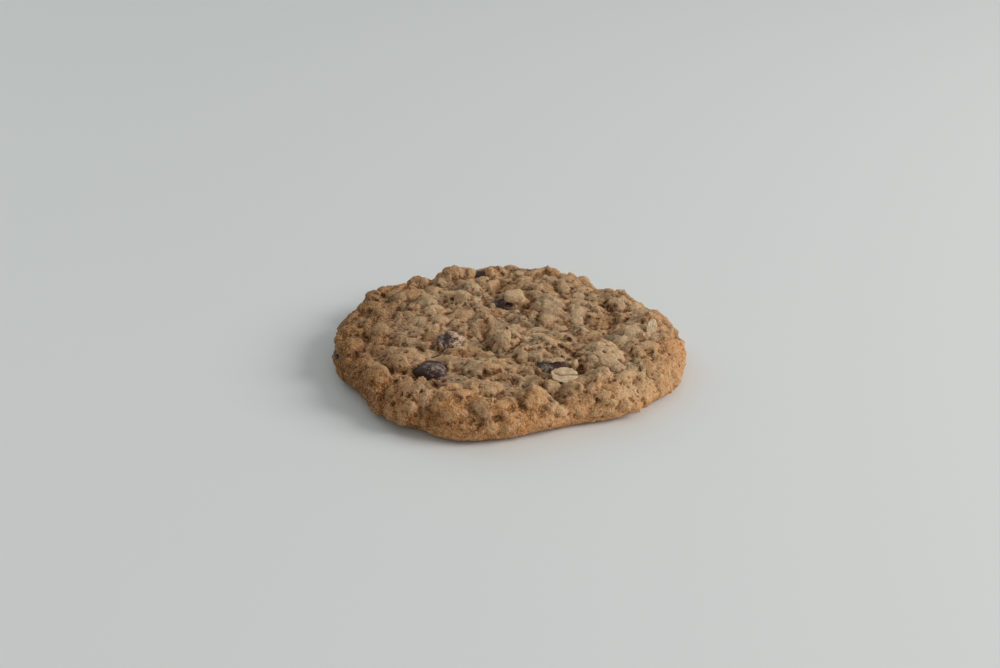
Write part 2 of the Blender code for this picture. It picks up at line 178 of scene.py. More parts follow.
# Hollows between the lumps: (picture x, y, length, width, depth in mm, and a turn if any).
HOLLOWS = (
    (436, 380, 5, 4.6, 1.6, 10), (427, 379, 3, 2.6, 1, 10), (371, 382, 2, 2.6, 1.2),
    (354, 360, 2, 2.2, 1.2), (487, 341, 4, 6, 1.1), (484, 327, 4.6, 7.4, 1.4),
    (531, 360, 2.6, 2.6, 1.1), (582, 371, 4.6, 7, 1.8), (502, 288, 6.4, 4.6, 1.5, 20),
    (509, 287, 6, 4, 1.3), (566, 308, 2, 2.4, 1.3), (553, 285, 3.4, 5.4, 1.1),
    (384, 298, 4.6, 5.4, 1.5), (391, 316, 4.4, 4, 1.3), (445, 304, 4, 7.4, 1.6),
    (365, 334, 3.6, 6.4, 1.5), (606, 308, 5, 4, 1.2, -10), (610, 318, 6, 9, 2, -20),
    (602, 326, 4.6, 4.6, 1), (579, 336, 7, 3, 1.1, -30), (560, 323, 3.6, 3, 1.1),
    (594, 322, 5, 6, 1.2), (562, 297, 4, 3, 1), (546, 356, 3.6, 3, 1), (527, 390, 4, 4, 0.9),
    (459, 400, 3, 5, 1), (445, 369, 3.6, 3, 0.9), (448, 387, 4, 3, 0.9), (556, 393, 4, 5.4, 1.2),
    (455, 368, 3, 3, 1.1), (428, 349, 6.4, 3.4, 1.2, -15), (447, 328, 7, 3, 1),
    (470, 335, 5, 4, 1), (440, 396, 3, 3.4, 1), (525, 385, 3.2, 4, 1), (554, 380, 5, 4, 1.1),
    (569, 350, 5, 4.4, 1.3), (592, 340, 4, 3, 1), (454, 279, 3.4, 4, 1.1), (437, 284, 3.2, 4, 1.1),
    (477, 296, 3.2, 5, 1), (390, 345, 5.4, 2.4, 1), (413, 429, 4.4, 5, 1.5), (420, 431, 4, 4, 1.2),
    (366, 392, 3.4, 5, 0.8), (394, 411, 3, 6, 0.7), (528, 295, 4, 4.6, 1.5),
    (526, 313, 5.4, 3.4, 1.6), (393, 312, 5, 4.6, 1.2), (371, 294, 4.6, 4.6, 1),
    (367, 315, 5, 6, 1.2), (430, 337, 6, 5, 1.1), (354, 332, 5, 4, 1), (463, 354, 12, 4, 1.9),
    (523, 309, 5, 4, 1.6), (495, 314, 4, 5, 1.2), (597, 339, 5, 3.6, 1.2), (541, 376, 5, 4.4, 1.4),
    (592, 382, 4, 3, 1), (504, 379, 6, 3.4, 1.2), (482, 385, 6, 4, 1.3), (413, 373, 6, 4, 1.4),
    (550, 376, 5, 4, 1.2), (494, 295, 4, 5, 1.2), (406, 285, 3.4, 6, 1.2), (591, 324, 4.6, 5, 1.2),
    (611, 332, 4, 3, 1), (638, 383, 4, 5, 1), (573, 402, 3.4, 3.4, 0.8), (575, 355, 3.4, 5, 1.2),
    (638, 299, 4, 3, 1), (495, 410, 3, 4, 1.1), (514, 381, 3.6, 3.4, 1.1), (537, 371, 3.6, 3.4, 1),
    (471, 422, 3, 3, 1.1), (577, 388, 3, 3, 1), (650, 372, 3, 3, 1), (411, 376, 7, 3.4, 1.6),
    (435, 384, 5, 4, 1.8), (543, 385, 4.4, 6.4, 1.4), (478, 429, 2.2, 3.6, 0.9),
    (434, 430, 6, 4, 0.8), (541, 415, 3, 2.6, 0.8), (465, 405, 2.6, 4, 0.8), (512, 408, 3, 4, 1.1),
    (639, 378, 3.6, 3.6, 1), (648, 365, 3.6, 3, 1), (663, 350, 3.6, 3.6, 1), (676, 334, 4, 5, 1),
    (620, 294, 6, 3.4, 0.9), (487, 305, 2.6, 6, 0.9),
)

# Creases that show as dark lines: (width, depth in mm, the line's places in the picture).
CREASES = (
    (2.6, 1.2, ((366, 302), (368, 308), (373, 317), (374, 322))),
    (2.4, 1.1, ((376, 292), (384, 298), (385, 303))), (1.8, 1.2, ((402, 311), (405, 316))),
    (1.6, 1.1, ((398, 308), (396, 313))),
    (2, 1.1, ((409, 278), (408, 283), (405, 289), (408, 299), (407, 304))),
    (1.7, 1.4, ((421, 328), (427, 326))), (1.4, 0.9, ((431, 325), (435, 326))),
    (2, 1.2, ((347, 335), (352, 331))), (3.4, 1.2, ((360, 327), (367, 331), (366, 338))),
    (3.2, 1.3, ((440, 304), (446, 296))),
    (1.4, 0.8, ((469, 296), (470, 306), (475, 310), (477, 314))), (2, 1, ((445, 296), (447, 306))),
    (2.8, 1.5, ((496, 293), (504, 290), (501, 282), (508, 281), (515, 284))),
    (2.6, 1.4, ((523, 290), (527, 296), (534, 300), (526, 306), (519, 313))),
    (1.5, 1.9, ((532, 318), (539, 323), (545, 328))), (2.2, 1.3, ((559, 294), (566, 299))),
    (1.8, 0.8, ((461, 332), (467, 330))), (1.8, 1.1, ((572, 288), (580, 287), (588, 289))),
    (2.4, 1.3, ((600, 305), (608, 307), (613, 305))),
    (4.6, 1.2, ((606, 306), (611, 314), (613, 326))), (2.4, 1.2, ((610, 329), (613, 334))),
    (2.4, 1.1, ((608, 292), (616, 296), (623, 293))), (1.8, 1, ((577, 332), (583, 335))),
    (1.6, 1, ((641, 320), (643, 324))),
    (2.8, 1.3, ((391, 370), (394, 377), (397, 383), (395, 391), (392, 398))),
    (2.2, 1.1, ((380, 359), (386, 364), (391, 371))),
    (2.8, 1.2, ((363, 353), (366, 345), (363, 340))), (1.6, 0.8, ((373, 356), (384, 354))),
    (1.4, 0.8, ((341, 369), (349, 374))), (2.2, 1.2, ((367, 384), (373, 379))),
    (3, 1.8, ((424, 380), (430, 385), (437, 386), (443, 384))),
    (3.4, 2, ((398, 372), (405, 375), (412, 377), (420, 379))),
    (1.8, 1, ((413, 399), (419, 407), (420, 415))), (1.6, 1, ((443, 423), (450, 425))),
    (1.6, 0.9, ((417, 347), (424, 351), (436, 353))),
    (1.6, 1.1, ((450, 370), (455, 372), (463, 374), (470, 378))),
    (2.2, 1.3, ((484, 372), (490, 374), (494, 373), (500, 371))),
    (1.5, 0.9, ((480, 394), (490, 395), (497, 396), (504, 391))),
    (2.6, 0.8, ((470, 409), (477, 415))), (2.4, 0.9, ((494, 418), (501, 419), (506, 415))),
    (2.1, 1, ((525, 391), (524, 396), (520, 403), (525, 409))),
    (2.2, 1.2, ((540, 412), (544, 405), (548, 403))), (2.8, 1.1, ((513, 379), (512, 387))),
    (2, 0.7, ((459, 419), (468, 419))), (1.9, 1.3, ((481, 343), (485, 340))),
    (2.2, 1.1, ((489, 347), (491, 342), (495, 338))),
    (1.8, 0.8, ((470, 340), (469, 349), (477, 359))), (3, 1, ((555, 397), (564, 400))),
    (3.8, 1.8, ((579, 375), (581, 368), (585, 361), (582, 355))),
    (2.8, 1.3, ((631, 359), (635, 354), (627, 349), (631, 343))),
    (1.6, 1.2, ((639, 369), (643, 366), (647, 369), (646, 378))),
    (1.5, 1.2, ((654, 379), (657, 386), (660, 395))), (1.6, 1, ((643, 398), (645, 404))),
    (1.6, 1.2, ((596, 400), (599, 401))),
)

# Narrow ridges: (width, rise in mm, tint, the line's places in the picture).
RIDGES = (
    (2.6, 0.7, "pale",
     ((501, 352), (510, 346), (517, 341), (525, 339), (539, 336), (548, 339), (555, 345))),
    (2.4, 0.7, "pale", ((516, 353), (522, 351), (536, 346), (549, 347))),
    (2, 0.6, "yellow", ((518, 358), (525, 362), (529, 364))),
    (2.4, 0.8, "orange", ((482, 367), (485, 363), (493, 361), (503, 362))),
    (2.4, 0.7, "grey", ((522, 317), (531, 317), (539, 325))),
    (2.2, 0.6, "orange", ((412, 404), (410, 414), (415, 421))),
    (2.2, 0.5, "plain", ((345, 352), (349, 360), (356, 366))),
)

# Small dark pits: (picture x, y, width, depth in mm).
PITS = (
    (401, 394, 1.3, 1.5), (408, 395, 1.6, 1.7), (405, 351, 1.2, 0.9), (414, 382, 1.6, 0.8),
    (421, 391, 1.3, 1), (420, 361, 1, 0.8), (399, 367, 1, 0.8), (403, 373, 1, 0.8),
    (528, 329, 1.1, 0.9), (511, 343, 1.2, 1.2), (561, 355, 1.4, 0.9), (640, 368, 1, 0.6),
    (651, 359, 1, 0.6), (604, 351, 1.1, 0.8), (597, 400, 1.2, 1), (650, 396, 1, 0.5),
    (638, 391, 0.9, 0.4), (563, 381, 1.2, 0.8), (458, 379, 1.2, 0.9), (432, 377, 1, 0.8),
    (384, 395, 1.2, 1), (393, 404, 1.1, 0.8),
)

# Dough laid on last, over the chips and where a hollow or the outline needs it: as the lumps.
# Near the chips the grey tint is chocolate; at the back-left rim it is painted shade.
COVERS = (
    (513, 295, 7, 6, 1.2, "white", -10), (507, 293, 5, 3, 0.8, "grey"),
    (493, 305, 2.6, 3.6, 0.5, "grey"), (467, 341, 2.4, 3, 0.5, "grey", 20),
    (459, 348, 3.6, 2.4, 0.6, "grey", 30), (448, 350, 3.6, 2, 0.7, "grey"),
    (440, 346, 2, 3, 0.6, "grey"), (453, 345, 1.8, 1.2, 0.5, "grey"),
    (466, 344, 2.4, 2, 0.5, "grey"), (538, 371, 2.6, 2.6, 0.5, "grey"),
    (549, 360, 4.6, 2.2, 0.6, "grey", -14), (558, 359, 4.6, 2.4, 0.7, "pale", 8),
    (570, 364, 3.4, 2.8, 0.7, "grey"), (556, 382, 2, 1.6, 0.5, "yellow"),
    (572, 382, 2.4, 1.6, 0.5, "yellow"), (415, 363, 5, 2, 0.5, "plain", 14),
    (449, 366, 2, 3.4, 0.5, "plain"), (569, 308, 4.4, 5, 0.5, "white"),
    (577, 320, 5, 6, 0.5, "white"), (430, 301, 5, 6, 0.5, "pale"),
    (460, 298, 6.4, 6.4, 1, "white"), (380, 328, 6, 5, 0.8, "white"),
    (446, 328, 4, 4, 0.4, "pale"), (533, 326, 5, 3, 0.4, "pale"), (503, 340, 5, 6, 0.4, "white"),
    (475, 367, 6, 6, 0.7, "white"), (508, 366, 4, 3, 0.4, "pale"),
    (594, 359, 4.4, 6.4, 0.5, "pale"), (554, 386, 6, 5, 0.8, "white"),
    (636, 333, 7, 5, 0.6, "white"), (644, 335, 5, 5.6, 0.9, "white"),
    (655, 328, 4, 4, 0.5, "yellow"), (620, 340, 6, 6, 0.7, "white"),
    (579, 296, 6, 4.6, 0.6, "pale"), (619, 306, 5, 4, 0.6, "pale"), (541, 339, 6, 4, 0.5, "pale"),
    (460, 387, 6, 5, 0.7, "white"), (475, 300, 4.6, 6, 0.7, "white"),
    (434, 372, 2.6, 1.6, 0.3, "grey"), (568, 278, 5, 4, 0.6, "orange"),
    (515, 366, 4, 4, 0.5, "yellow"), (590, 366, 5, 5, 0.5, "pale"), (634, 322, 6, 4, 0.6, "white"),
    (498, 348, 5, 5.4, 0.7, "white"), (538, 329, 7, 4, 0.6, "pale"),
    (604, 408, 6.6, 4.4, 0.9, "yellow"), (588, 402, 6, 5, 0.8, "yellow"),
    (613, 364, 7, 5, 0.6, "pale"), (600, 363, 5, 4, 0.5, "pale"), (588, 354, 4.6, 5, 0.6, "white"),
    (619, 366, 5, 4, 0.5, "pale"), (437, 308, 5, 5, 0.6, "white"), (630, 360, 4, 5, 0.6, "pale"),
    (611, 378, 5, 4, 0.5, "pale"), (525, 338, 6, 4, 0.4, "pale"), (489, 391, 5, 4, 0.5, "yellow"),
    (410, 410, 5, 5, 0.5, "yellow"), (641, 353, 6, 4, 0.5, "pale"), (592, 389, 4, 5, 0.6, "pale"),
    (521, 355, 4, 4, 0.6, "pale"), (431, 309, 5.4, 5, 0.8, "pale"),
    (431, 287, 5, 4, 0.6, "yellow"), (487, 389, 5.4, 5.6, 0.6, "yellow"),
    (613, 302, 5, 4.4, 0.6, "pale"), (590, 297, 5, 4, 0.4, "pale"),
    (522, 303, 3.6, 3.6, 0.5, "white"), (435, 289, 5, 5, 0.5, "yellow"),
    (393, 294, 6, 6.6, 0.8, "white"), (391, 343, 5, 3, 0.4, "yellow"),
    (538, 334, 6, 4, 0.4, "pale"), (665, 330, 4, 4, 0.4, "yellow"),
    (339, 345, 4, 4, 0.7, "orange"), (339, 352, 3.4, 1.2, 0.35, "grey"),
    (621, 337, 4, 5, 0.4, "pale"), (607, 405, 6.4, 5, 0.7, "yellow"),
    (624, 405, 5, 4, 0.6, "yellow"), (584, 412, 6, 4, 0.7, "orange"),
    (597, 411, 5.6, 4, 0.8, "yellow"), (562, 411, 4.4, 3.6, 0.6, "orange"),
    (602, 396, 5, 4.4, 0.7, "yellow"), (481, 408, 6, 6, 0.6, "white"),
    (439, 416, 5, 4, 0.4, "orange"), (525, 405, 4, 4, 0.4, "yellow"),
    (598, 343, 4.6, 4, 0.5, "white", 20), (613, 345, 5, 4.4, 0.4, "pale", -20),
    (600, 354, 3.6, 3.4, 0.4, "pale"), (611, 357, 5.4, 3.6, 0.4, "white"),
    (618, 352, 3, 3.6, 0.4, "pale"), (349, 345, 5, 6.4, 1.2, "orange"),
    (346, 361, 3, 3.6, 0.7, "plain"), (473, 273, 4, 4.4, 0.7, "orange"),
    (489, 272, 4, 4.4, 0.8, "orange"), (482, 279, 5.6, 3, 0.7, "yellow"),
    (347, 350, 3.6, 3, 0.9, "orange"), (373, 294, 6, 5, 0.9, "grey"),
    (335, 341, 4, 4.6, 0.9, "orange"),
)

# Painted shade where the share is above 0, painted light where it is below 0: (picture x, y, width
# in mm, share).
SHADE_AND_LIGHT_PATCHES = (
    (372, 292, 8, 0.48), (510, 287, 6, 0.44), (527, 306, 4.6, 0.34), (334, 341, 4, 0.34),
    (352, 360, 4.6, 0.3), (379, 363, 4.6, 0.3), (395, 313, 5.6, 0.34), (551, 374, 4, 0.36),
    (648, 364, 4.6, 0.3), (675, 377, 5, 0.24), (571, 405, 4, 0.24), (589, 397, 4, 0.26),
    (475, 431, 3.4, 0.34), (491, 407, 4, 0.26), (407, 279, 4.6, 0.26), (484, 357, 5, 0.32),
    (421, 377, 4, 0.32), (614, 294, 5, 0.32), (630, 295, 4, 0.32), (511, 383, 3.6, 0.3),
    (509, 400, 3.6, 0.24), (450, 353, 5, 0.3), (389, 350, 4, 0.24), (620, 322, 4.6, 0.3),
    (600, 340, 4, 0.24), (394, 377, 5, 0.24), (443, 306, 3.6, 0.34), (460, 316, 4, 0.24),
    (368, 318, 4, 0.3), (548, 287, 4, 0.24), (657, 383, 3.6, 0.24), (578, 336, 4, 0.4),
    (450, 268, 7, 0.26), (475, 269, 5, 0.26), (515, 271, 6, 0.22), (528, 270, 6, 0.22),
    (395, 284, 6, 0.26), (440, 365, 4, 0.3), (535, 377, 4.6, 0.26), (478, 383, 4, 0.2),
    (576, 374, 4, 0.3), (573, 396, 4, 0.24), (523, 418, 4, 0.26), (355, 313, 4.6, 0.26),
    (592, 360, 5, -0.9), (632, 334, 7, -0.8), (635, 304, 5, -0.6), (423, 302, 5.6, -0.7),
    (485, 384, 4, -0.6), (528, 412, 4, -0.6), (426, 410, 5.6, -0.6), (430, 352, 5, -0.6),
    (543, 334, 5.6, -0.7), (566, 278, 5, -0.5), (478, 287, 5, -0.5), (674, 388, 4, -0.5),
    (605, 365, 5, -0.6), (431, 286, 5, -0.8), (432, 309, 5.4, -0.9), (446, 327, 4.4, -0.8),
    (454, 301, 5, -0.7), (516, 303, 4, -0.7), (524, 384, 4.6, -0.8), (520, 355, 5, -0.8),
    (501, 350, 4.6, -0.8), (565, 337, 4.6, -0.8), (562, 411, 3.6, -0.7), (598, 412, 4.6, -0.8),
    (602, 396, 4.4, -0.8), (607, 405, 4, -0.7), (487, 391, 4.4, -0.7), (434, 373, 4, -0.7),
    (405, 346, 4.6, -0.7), (590, 308, 4.4, -0.8), (644, 312, 4.6, -0.8), (648, 330, 4, -0.7),
    (671, 333, 4, -0.7), (622, 333, 4, -0.7), (622, 345, 4, -0.7), (485, 288, 4.6, -0.6),
    (464, 275, 3.6, -0.7), (532, 323, 4, -0.7), (578, 365, 4, -0.7), (340, 323, 5, -0.5),
    (360, 322, 4, -0.6), (410, 389, 6, -0.4), (472, 406, 5, -0.5), (610, 305, 5, -0.5),
    (547, 303, 5, -0.5),
)

# Bare, pale oat flakes: (picture x, y, length, width in mm, turn, lift in mm, tilt, fold).
BARE_FLAKES = (
    (564, 375, 7.8, 5, -5, 0.75, 34, 1),
    (650, 329, 6.2, 3, 76, 0.95, 34, 0.15),
)
FLAKE_SEED = 5

# What is strewn over the whole skin: how many, their lengths in mm, their height as a share of
# their width and the part of it that is sunk, the greatest tilt in degrees, how far they keep
# from each other and from the chips as shares of their length, how fine and uneven they are, and
# the shares left out on the steep front, at the rim, on the single lumps and in the dips.
Strewn = namedtuple(
    "Strewn",
    "kind count shortest longest flatness sunk tilt spacing clearance cells uneven"
    " off_front off_rim off_lumps off_dips",
)
STREWN = (
    Strewn("lump", 60, 5, 8, 0.5, 0.66, 12, 0.62, 0.62, 4, 0.3, 1, 0, 1, 1),
    Strewn("flake", 300, 3.6, 7, 0.3, 0.56, 24, 0.62, 0.62, 3, 0.4, 0.8, 1, 0.7, 1),
    Strewn("clump", 420, 2, 4, 0.66, 0.66, 40, 0.62, 0.62, 3, 0.45, 0.5, 0.4, 0.6, 0.7),
    Strewn("crumb", 900, 0.9, 1.8, 0.85, 0.58, 60, 0.8, 0.5, 2, 0.45, 0, 0, 0, 0),
)
STREWN_SEED = 23
STREWN_REACH = 3 * MM  # how far out the skin is looked for
STREWN_TRIES = 12  # for each place, as many fall too near another
LOWEST_STREWN = 1.3 * MM
OVERHANG = -0.55  # nothing is strewn where the way out points further down
PALE_LUCK = 0.25  # strewn pieces whose luck is below it are pale
GREY_LUCK = 0.4  # and those below it are greyed
GOLDEN_LUCK = 0.72  # and those above it are golden

FOOT_HEIGHT = 4.5 * MM  # below it the front and right sides are plain, with crumbs alone
FOOT_TURNS = (-1.95, 0.25)  # from the front to the right, in radians
RIM_ACROSS = 57  # mm from the middle to the rim
RIM_ALONG = 54

PORES = 170
PORE_SPACING = 1.8 * MM
PORE_WIDTH = (0.7, 1.3)
PORE_DEPTH = (0.15, 0.5)

# How the chips look: the bloom that films them over and a thicker spot of it, at a place to the
# right and the front of the middle, in half widths; how far they bulge at the front right, in mm;
# how much they narrow to the left; their wrinkles in mm; the crumb in the film on their right
# half; and how much they grey the dough round them.
ChipLook = namedtuple("ChipLook", "film spot right front bulge taper wrinkles crumb greying")
CHIP_LOOKS = {
    "chip_1": ChipLook(0.04, 0.85, 0.3, 0.4, 2, 0.6, 0.1, 0, 0.35),
    "chip_2": ChipLook(0, 0.9, -0.5, 0.7, 0, 0.2, 0.08, 0, 0.6),
    "chip_3": ChipLook(0.52, 0.5, 0.55, -0.2, 0.2, 0, 0.5, 1, 1),
    "chip_4": ChipLook(0.05, 0.5, 0.1, 0.3, 0, 0, 0.2, 0, 0.8),
    "chip_5": ChipLook(0, 0, 0, 0, 0, 0, 0.2, 0, 0.3),
    "chip_6": ChipLook(0.2, 0, 0, 0, 0, 0, 0.2, 0, 0.5),
}
CHIP_BOXES = {node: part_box(node) for node in CHIP_LOOKS}


def tone(red, green, blue):
    """A screen colour, 0 to 255, as the linear colour that shaders take."""
    return tuple(((c / 255 + 0.055) / 1.055) ** 2.4 for c in (red, green, blue))


# ---------------------------------------------------------------- camera and line of sight


def make_camera():
    data = bpy.data.cameras.new("camera")
    data.lens = LENS_MM
    data.sensor_width = SENSOR_MM
    data.clip_start = 0.01
    camera = bpy.data.objects.new("camera", data)
    camera.location = CAMERA_PLACE
    camera.rotation_euler = (CAMERA_TILT, 0, 0)
    bpy.context.scene.collection.objects.link(camera)
    bpy.context.scene.camera = camera


def sight_line(x, y):
    """The direction in which the camera sees a place in the picture."""
    per_pixel = SENSOR_MM / LENS_MM / PICTURE_WIDTH
    across = (x - PICTURE_WIDTH / 2) * per_pixel
    up = (PICTURE_HEIGHT / 2 - y) * per_pixel
    return (Matrix.Rotation(CAMERA_TILT, 3, "X") @ Vector((across, up, -1))).normalized()


def seen_on(surface, x, y, rise=0.0):
    """Where a place in the picture lies on the surface, and the way out of it there. With a
    rise, it is the foot of something that stands out so far and is seen at that place."""
    sight = sight_line(x, y)
    point, normal, _, _ = surface.ray_cast(CAMERA_PLACE, sight)
    if point is None:
        point, normal, _, _ = surface.find_nearest(nearest_pass(sight))
    slant = max(LEAST_SLANT, -sight.dot(normal))
    point = point - sight * (rise / slant)
    point, normal, _, _ = surface.find_nearest(point)
    return point, normal


def nearest_pass(sight):
    """Where a sight line that misses the cookie comes closest to its rim."""
    reach = (MIDDLE_HEIGHT - CAMERA_PLACE.z) / sight.z
    return CAMERA_PLACE + sight * reach


# ---------------------------------------------------------------- meshes


def object_of(bm, name):
    mesh = bpy.data.meshes.new(name)
    bm.to_mesh(mesh)
    bm.free()
    piece = bpy.data.objects.new(name, mesh)
    bpy.context.scene.collection.objects.link(piece)
    return piece


def packed_copy(node):
    """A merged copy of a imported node's mesh."""
    bm = bmesh.new()
    bm.from_mesh(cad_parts[node].data)
    bmesh.ops.remove_doubles(bm, verts=bm.verts, dist=MERGED)
    bmesh.ops.recalc_face_normals(bm, faces=bm.faces)
    bm.normal_update()
    return bm


def twin(piece):
    """A copy of the piece with a mesh of its own."""
    copy = piece.copy()
    copy.data = piece.data.copy()
    bpy.context.scene.collection.objects.link(copy)
    return copy


def join(pieces):
    """Makes the pieces one object, the first of them."""
    with bpy.context.temp_override(active_object=pieces[0], selected_editable_objects=pieces):
        bpy.ops.object.join()
    return pieces[0]


def apply_modifier(piece, kind, **settings):
    modifier = piece.modifiers.new(kind.lower(), kind)
    for name, value in settings.items():
        setattr(modifier, name, value)
    bpy.context.view_layer.objects.active = piece
    bpy.ops.object.modifier_apply(modifier=modifier.name)


def surface_of(piece):
    return BVHTree.FromObject(piece, bpy.context.evaluated_depsgraph_get())


def numbers(items, name, width, kind=np.float32):
    """A property of a mesh's points, edges or faces as an array."""
    flat = np.empty(len(items) * width, kind)
    items.foreach_get(name, flat)
    return flat.reshape(-1, width)


def move_points(mesh, points):
    mesh.vertices.foreach_set("co", points.astype(np.float32).ravel())
    mesh.update()


def paint(mesh, name, *channels):
    """Puts a share for each point into the red, green and blue of a colour attribute."""
    values = np.ones((len(mesh.vertices), 4), np.float32)
    values[:, : len(channels)] = np.stack(channels, 1)
    layer = mesh.attributes.new(name, "FLOAT_COLOR", "POINT")
    layer.data.foreach_set("color", values.ravel())


def keep_largest_island(piece):
    """Drops loose scraps and sealed hollows."""
    mesh = piece.data
    edges = numbers(mesh.edges, "vertices", 2, np.int32)
    label = np.arange(len(mesh.vertices))
    while True:
        low = np.minimum(label[edges[:, 0]], label[edges[:, 1]])
        before = label.copy()
        np.minimum.at(label, edges[:, 0], low)
        np.minimum.at(label, edges[:, 1], low)
        label = label[label]
        if np.array_equal(before, label):
            break
    largest = np.bincount(label).argmax()
    if (label == largest).all():
        return
    bm = bmesh.new()
    bm.from_mesh(mesh)
    bm.verts.ensure_lookup_table()
    loose = [bm.verts[i] for i in np.flatnonzero(label != largest)]
    bmesh.ops.delete(bm, geom=loose, context="VERTS")
    bm.to_mesh(mesh)
    bm.free()


def around(edges, values, rounds):
    """Values of the mesh's points after being averaged with their neighbours some times."""
    count = len(values)
    ends = np.concatenate([edges[:, 0], edges[:, 1]])
    others = np.concatenate([edges[:, 1], edges[:, 0]])
    links = np.maximum(1, np.bincount(ends, minlength=count))[:, None]
    for _ in range(rounds):
        sums = [np.bincount(ends, values[others, k], count) for k in range(values.shape[1])]
        values = (values + np.stack(sums, 1) / links) / 2
    return values


def distances(points, place):
    return np.linalg.norm(points - np.array(place), axis=1)


def noise_at(points, size):
    """Noise between -1 and 1 at each point, with swells of that size."""
    return np.array([noise.noise(Vector(point) / size) for point in points])


def fractal_at(points, size, fading, step, layers):
    """Noise at each point in layers, each finer by the step and fainter by the fading."""
    return np.array([noise.fractal(Vector(p) / size, fading, step, layers) for p in points])


def smoothstep(low, high, values):
    share = np.clip((values - low) / (high - low), 0, 1)
    return share * share * (3 - 2 * share)


def laid(point, normal, turn, tilt=0.0, axis=0.0):
    """A matrix that lays a shape on the skin, turned about the way out, then tilted."""
    upright = UP.rotation_difference(normal).to_matrix().to_4x4()
    turned = Matrix.Rotation(turn, 4, "Z")
    tilted = Matrix.Rotation(tilt, 4, Vector((math.cos(axis), math.sin(axis), 0)))
    return Matrix.Translation(point) @ upright @ turned @ tilted


def blob(place, size, uneven, cells, drift):
    """A lump with an uneven skin, laid by the matrix: size is its length, width and height."""
    bm = bmesh.new()
    bmesh.ops.create_icosphere(bm, subdivisions=cells, radius=1)
    for vertex in bm.verts:
        vertex.co *= 1 + uneven * noise.fractal(vertex.co * BLOB_DETAIL + drift, 0.8, 2.0, 2)
    bm.transform(place @ Matrix.Diagonal((*(s / 2 for s in size), 1)))
    lowest = min(vertex.co.z for vertex in bm.verts)
    if lowest < BLOB_CLEARANCE:
        bmesh.ops.translate(bm, verts=bm.verts, vec=(0, 0, BLOB_CLEARANCE - lowest))
    return object_of(bm, "blob")


# ---------------------------------------------------------------- the dough's large forms


def dough_core():
    """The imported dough, a little slimmer, with its pockets filled and its creases softened."""
    bm = packed_copy("cookie")
    for vertex in bm.verts:
        height = vertex.co.z
        vertex.co -= vertex.normal * CORE_SHRINK
        if height < 0.1 * MM:  # the base stays where it is
            vertex.co.z = height
    core = object_of(bm, "core")
    for node, (low, high) in CHIP_BOXES.items():
        middle = (low + high) / 2
        filling = packed_copy(node)
        bmesh.ops.translate(filling, verts=filling.verts, vec=-middle)
        bmesh.ops.scale(filling, verts=filling.verts, vec=FILLING_SCALE)
        bmesh.ops.translate(filling, verts=filling.verts, vec=middle - UP * FILLING_DROP)
        core = join([core, object_of(filling, "filling")])
    apply_modifier(core, "REMESH", mode="VOXEL", voxel_size=CORE_CELL)
    apply_modifier(core, "SMOOTH", factor=0.5, iterations=CORE_SMOOTHING)
    return core


def lay_lumps(surface, lumps):
    """The lumps that show singly. Gives them, and (middle, length, tint) for the colouring."""
    made = []
    marks = []
    for x, y, length, width, rise, tint, *turn in lumps:
        length, width, rise = length * MM, width * MM, rise * LUMP_RISE * MM
        point, normal = seen_on(surface, x, y, rise / 2)
        height = max(1.5 * rise, 0.5 * width)
        middle = point + normal * (rise - height / 2)
        drift = Vector((x * 0.73, y * 0.51, 0))
        place = laid(middle, normal, math.radians(sum(turn)))
        made.append(blob(place, (length, width, height), 0.2, 4, drift))
        marks.append((point, length, tint))
    return made, marks


def press(points, middle, normal, size, depth, turn=0):
    """Pushes the mesh's points in round a place on the skin, within an uneven outline."""
    axes = laid(Vector(), normal, math.radians(turn)).to_3x3()
    local = (points - np.array(middle)) @ np.array(axes)
    away = (local[:, 0] / (size[0] / 2)) ** 2 + (local[:, 1] / (size[1] / 2)) ** 2
    away += (local[:, 2] / max(size)) ** 2
    near = np.flatnonzero(away < 4)
    wander = noise_at(points[near], 0.3 * max(size))
    share = np.clip(1 - away[near] / 2.2 * (1 + 1.8 * wander), 0, 1) ** 2
    points[near] -= np.array(normal) * (depth * share)[:, None]


def dough_body(core):
    """The core with its single lumps, hollows and covers. Gives it, (middle, length, tint) of the
    lumps and covers, and (middle, length) of the deeper hollows."""
    lumps, marks = lay_lumps(surface_of(core), LUMPS)
    body = join([core, *lumps])
    apply_modifier(body, "REMESH", mode="VOXEL", voxel_size=BODY_CELL)
    apply_modifier(body, "SMOOTH", factor=0.5, iterations=BODY_SMOOTHING)
    surface = surface_of(body)
    points = numbers(body.data.vertices, "co", 3).astype(np.float64)
    dips = []
    for x, y, length, width, depth, *turn in HOLLOWS:
        middle, normal = seen_on(surface, x, y)
        size = (length * MM, width * MM)
        press(points, middle, normal, size, depth * HOLLOW_DEPTH * MM, sum(turn))
        if depth >= DIP:
            dips.append((middle, max(size)))
    move_points(body.data, points)
    with_chips = join([twin(body), *(object_of(packed_copy(node), node) for node in CHIP_BOXES)])
    covers, cover_marks = lay_lumps(surface_of(with_chips), COVERS)
    bpy.data.objects.remove(with_chips)
    return join([body, *covers]), marks + cover_marks, dips


# ---------------------------------------------------------------- what is strewn on it


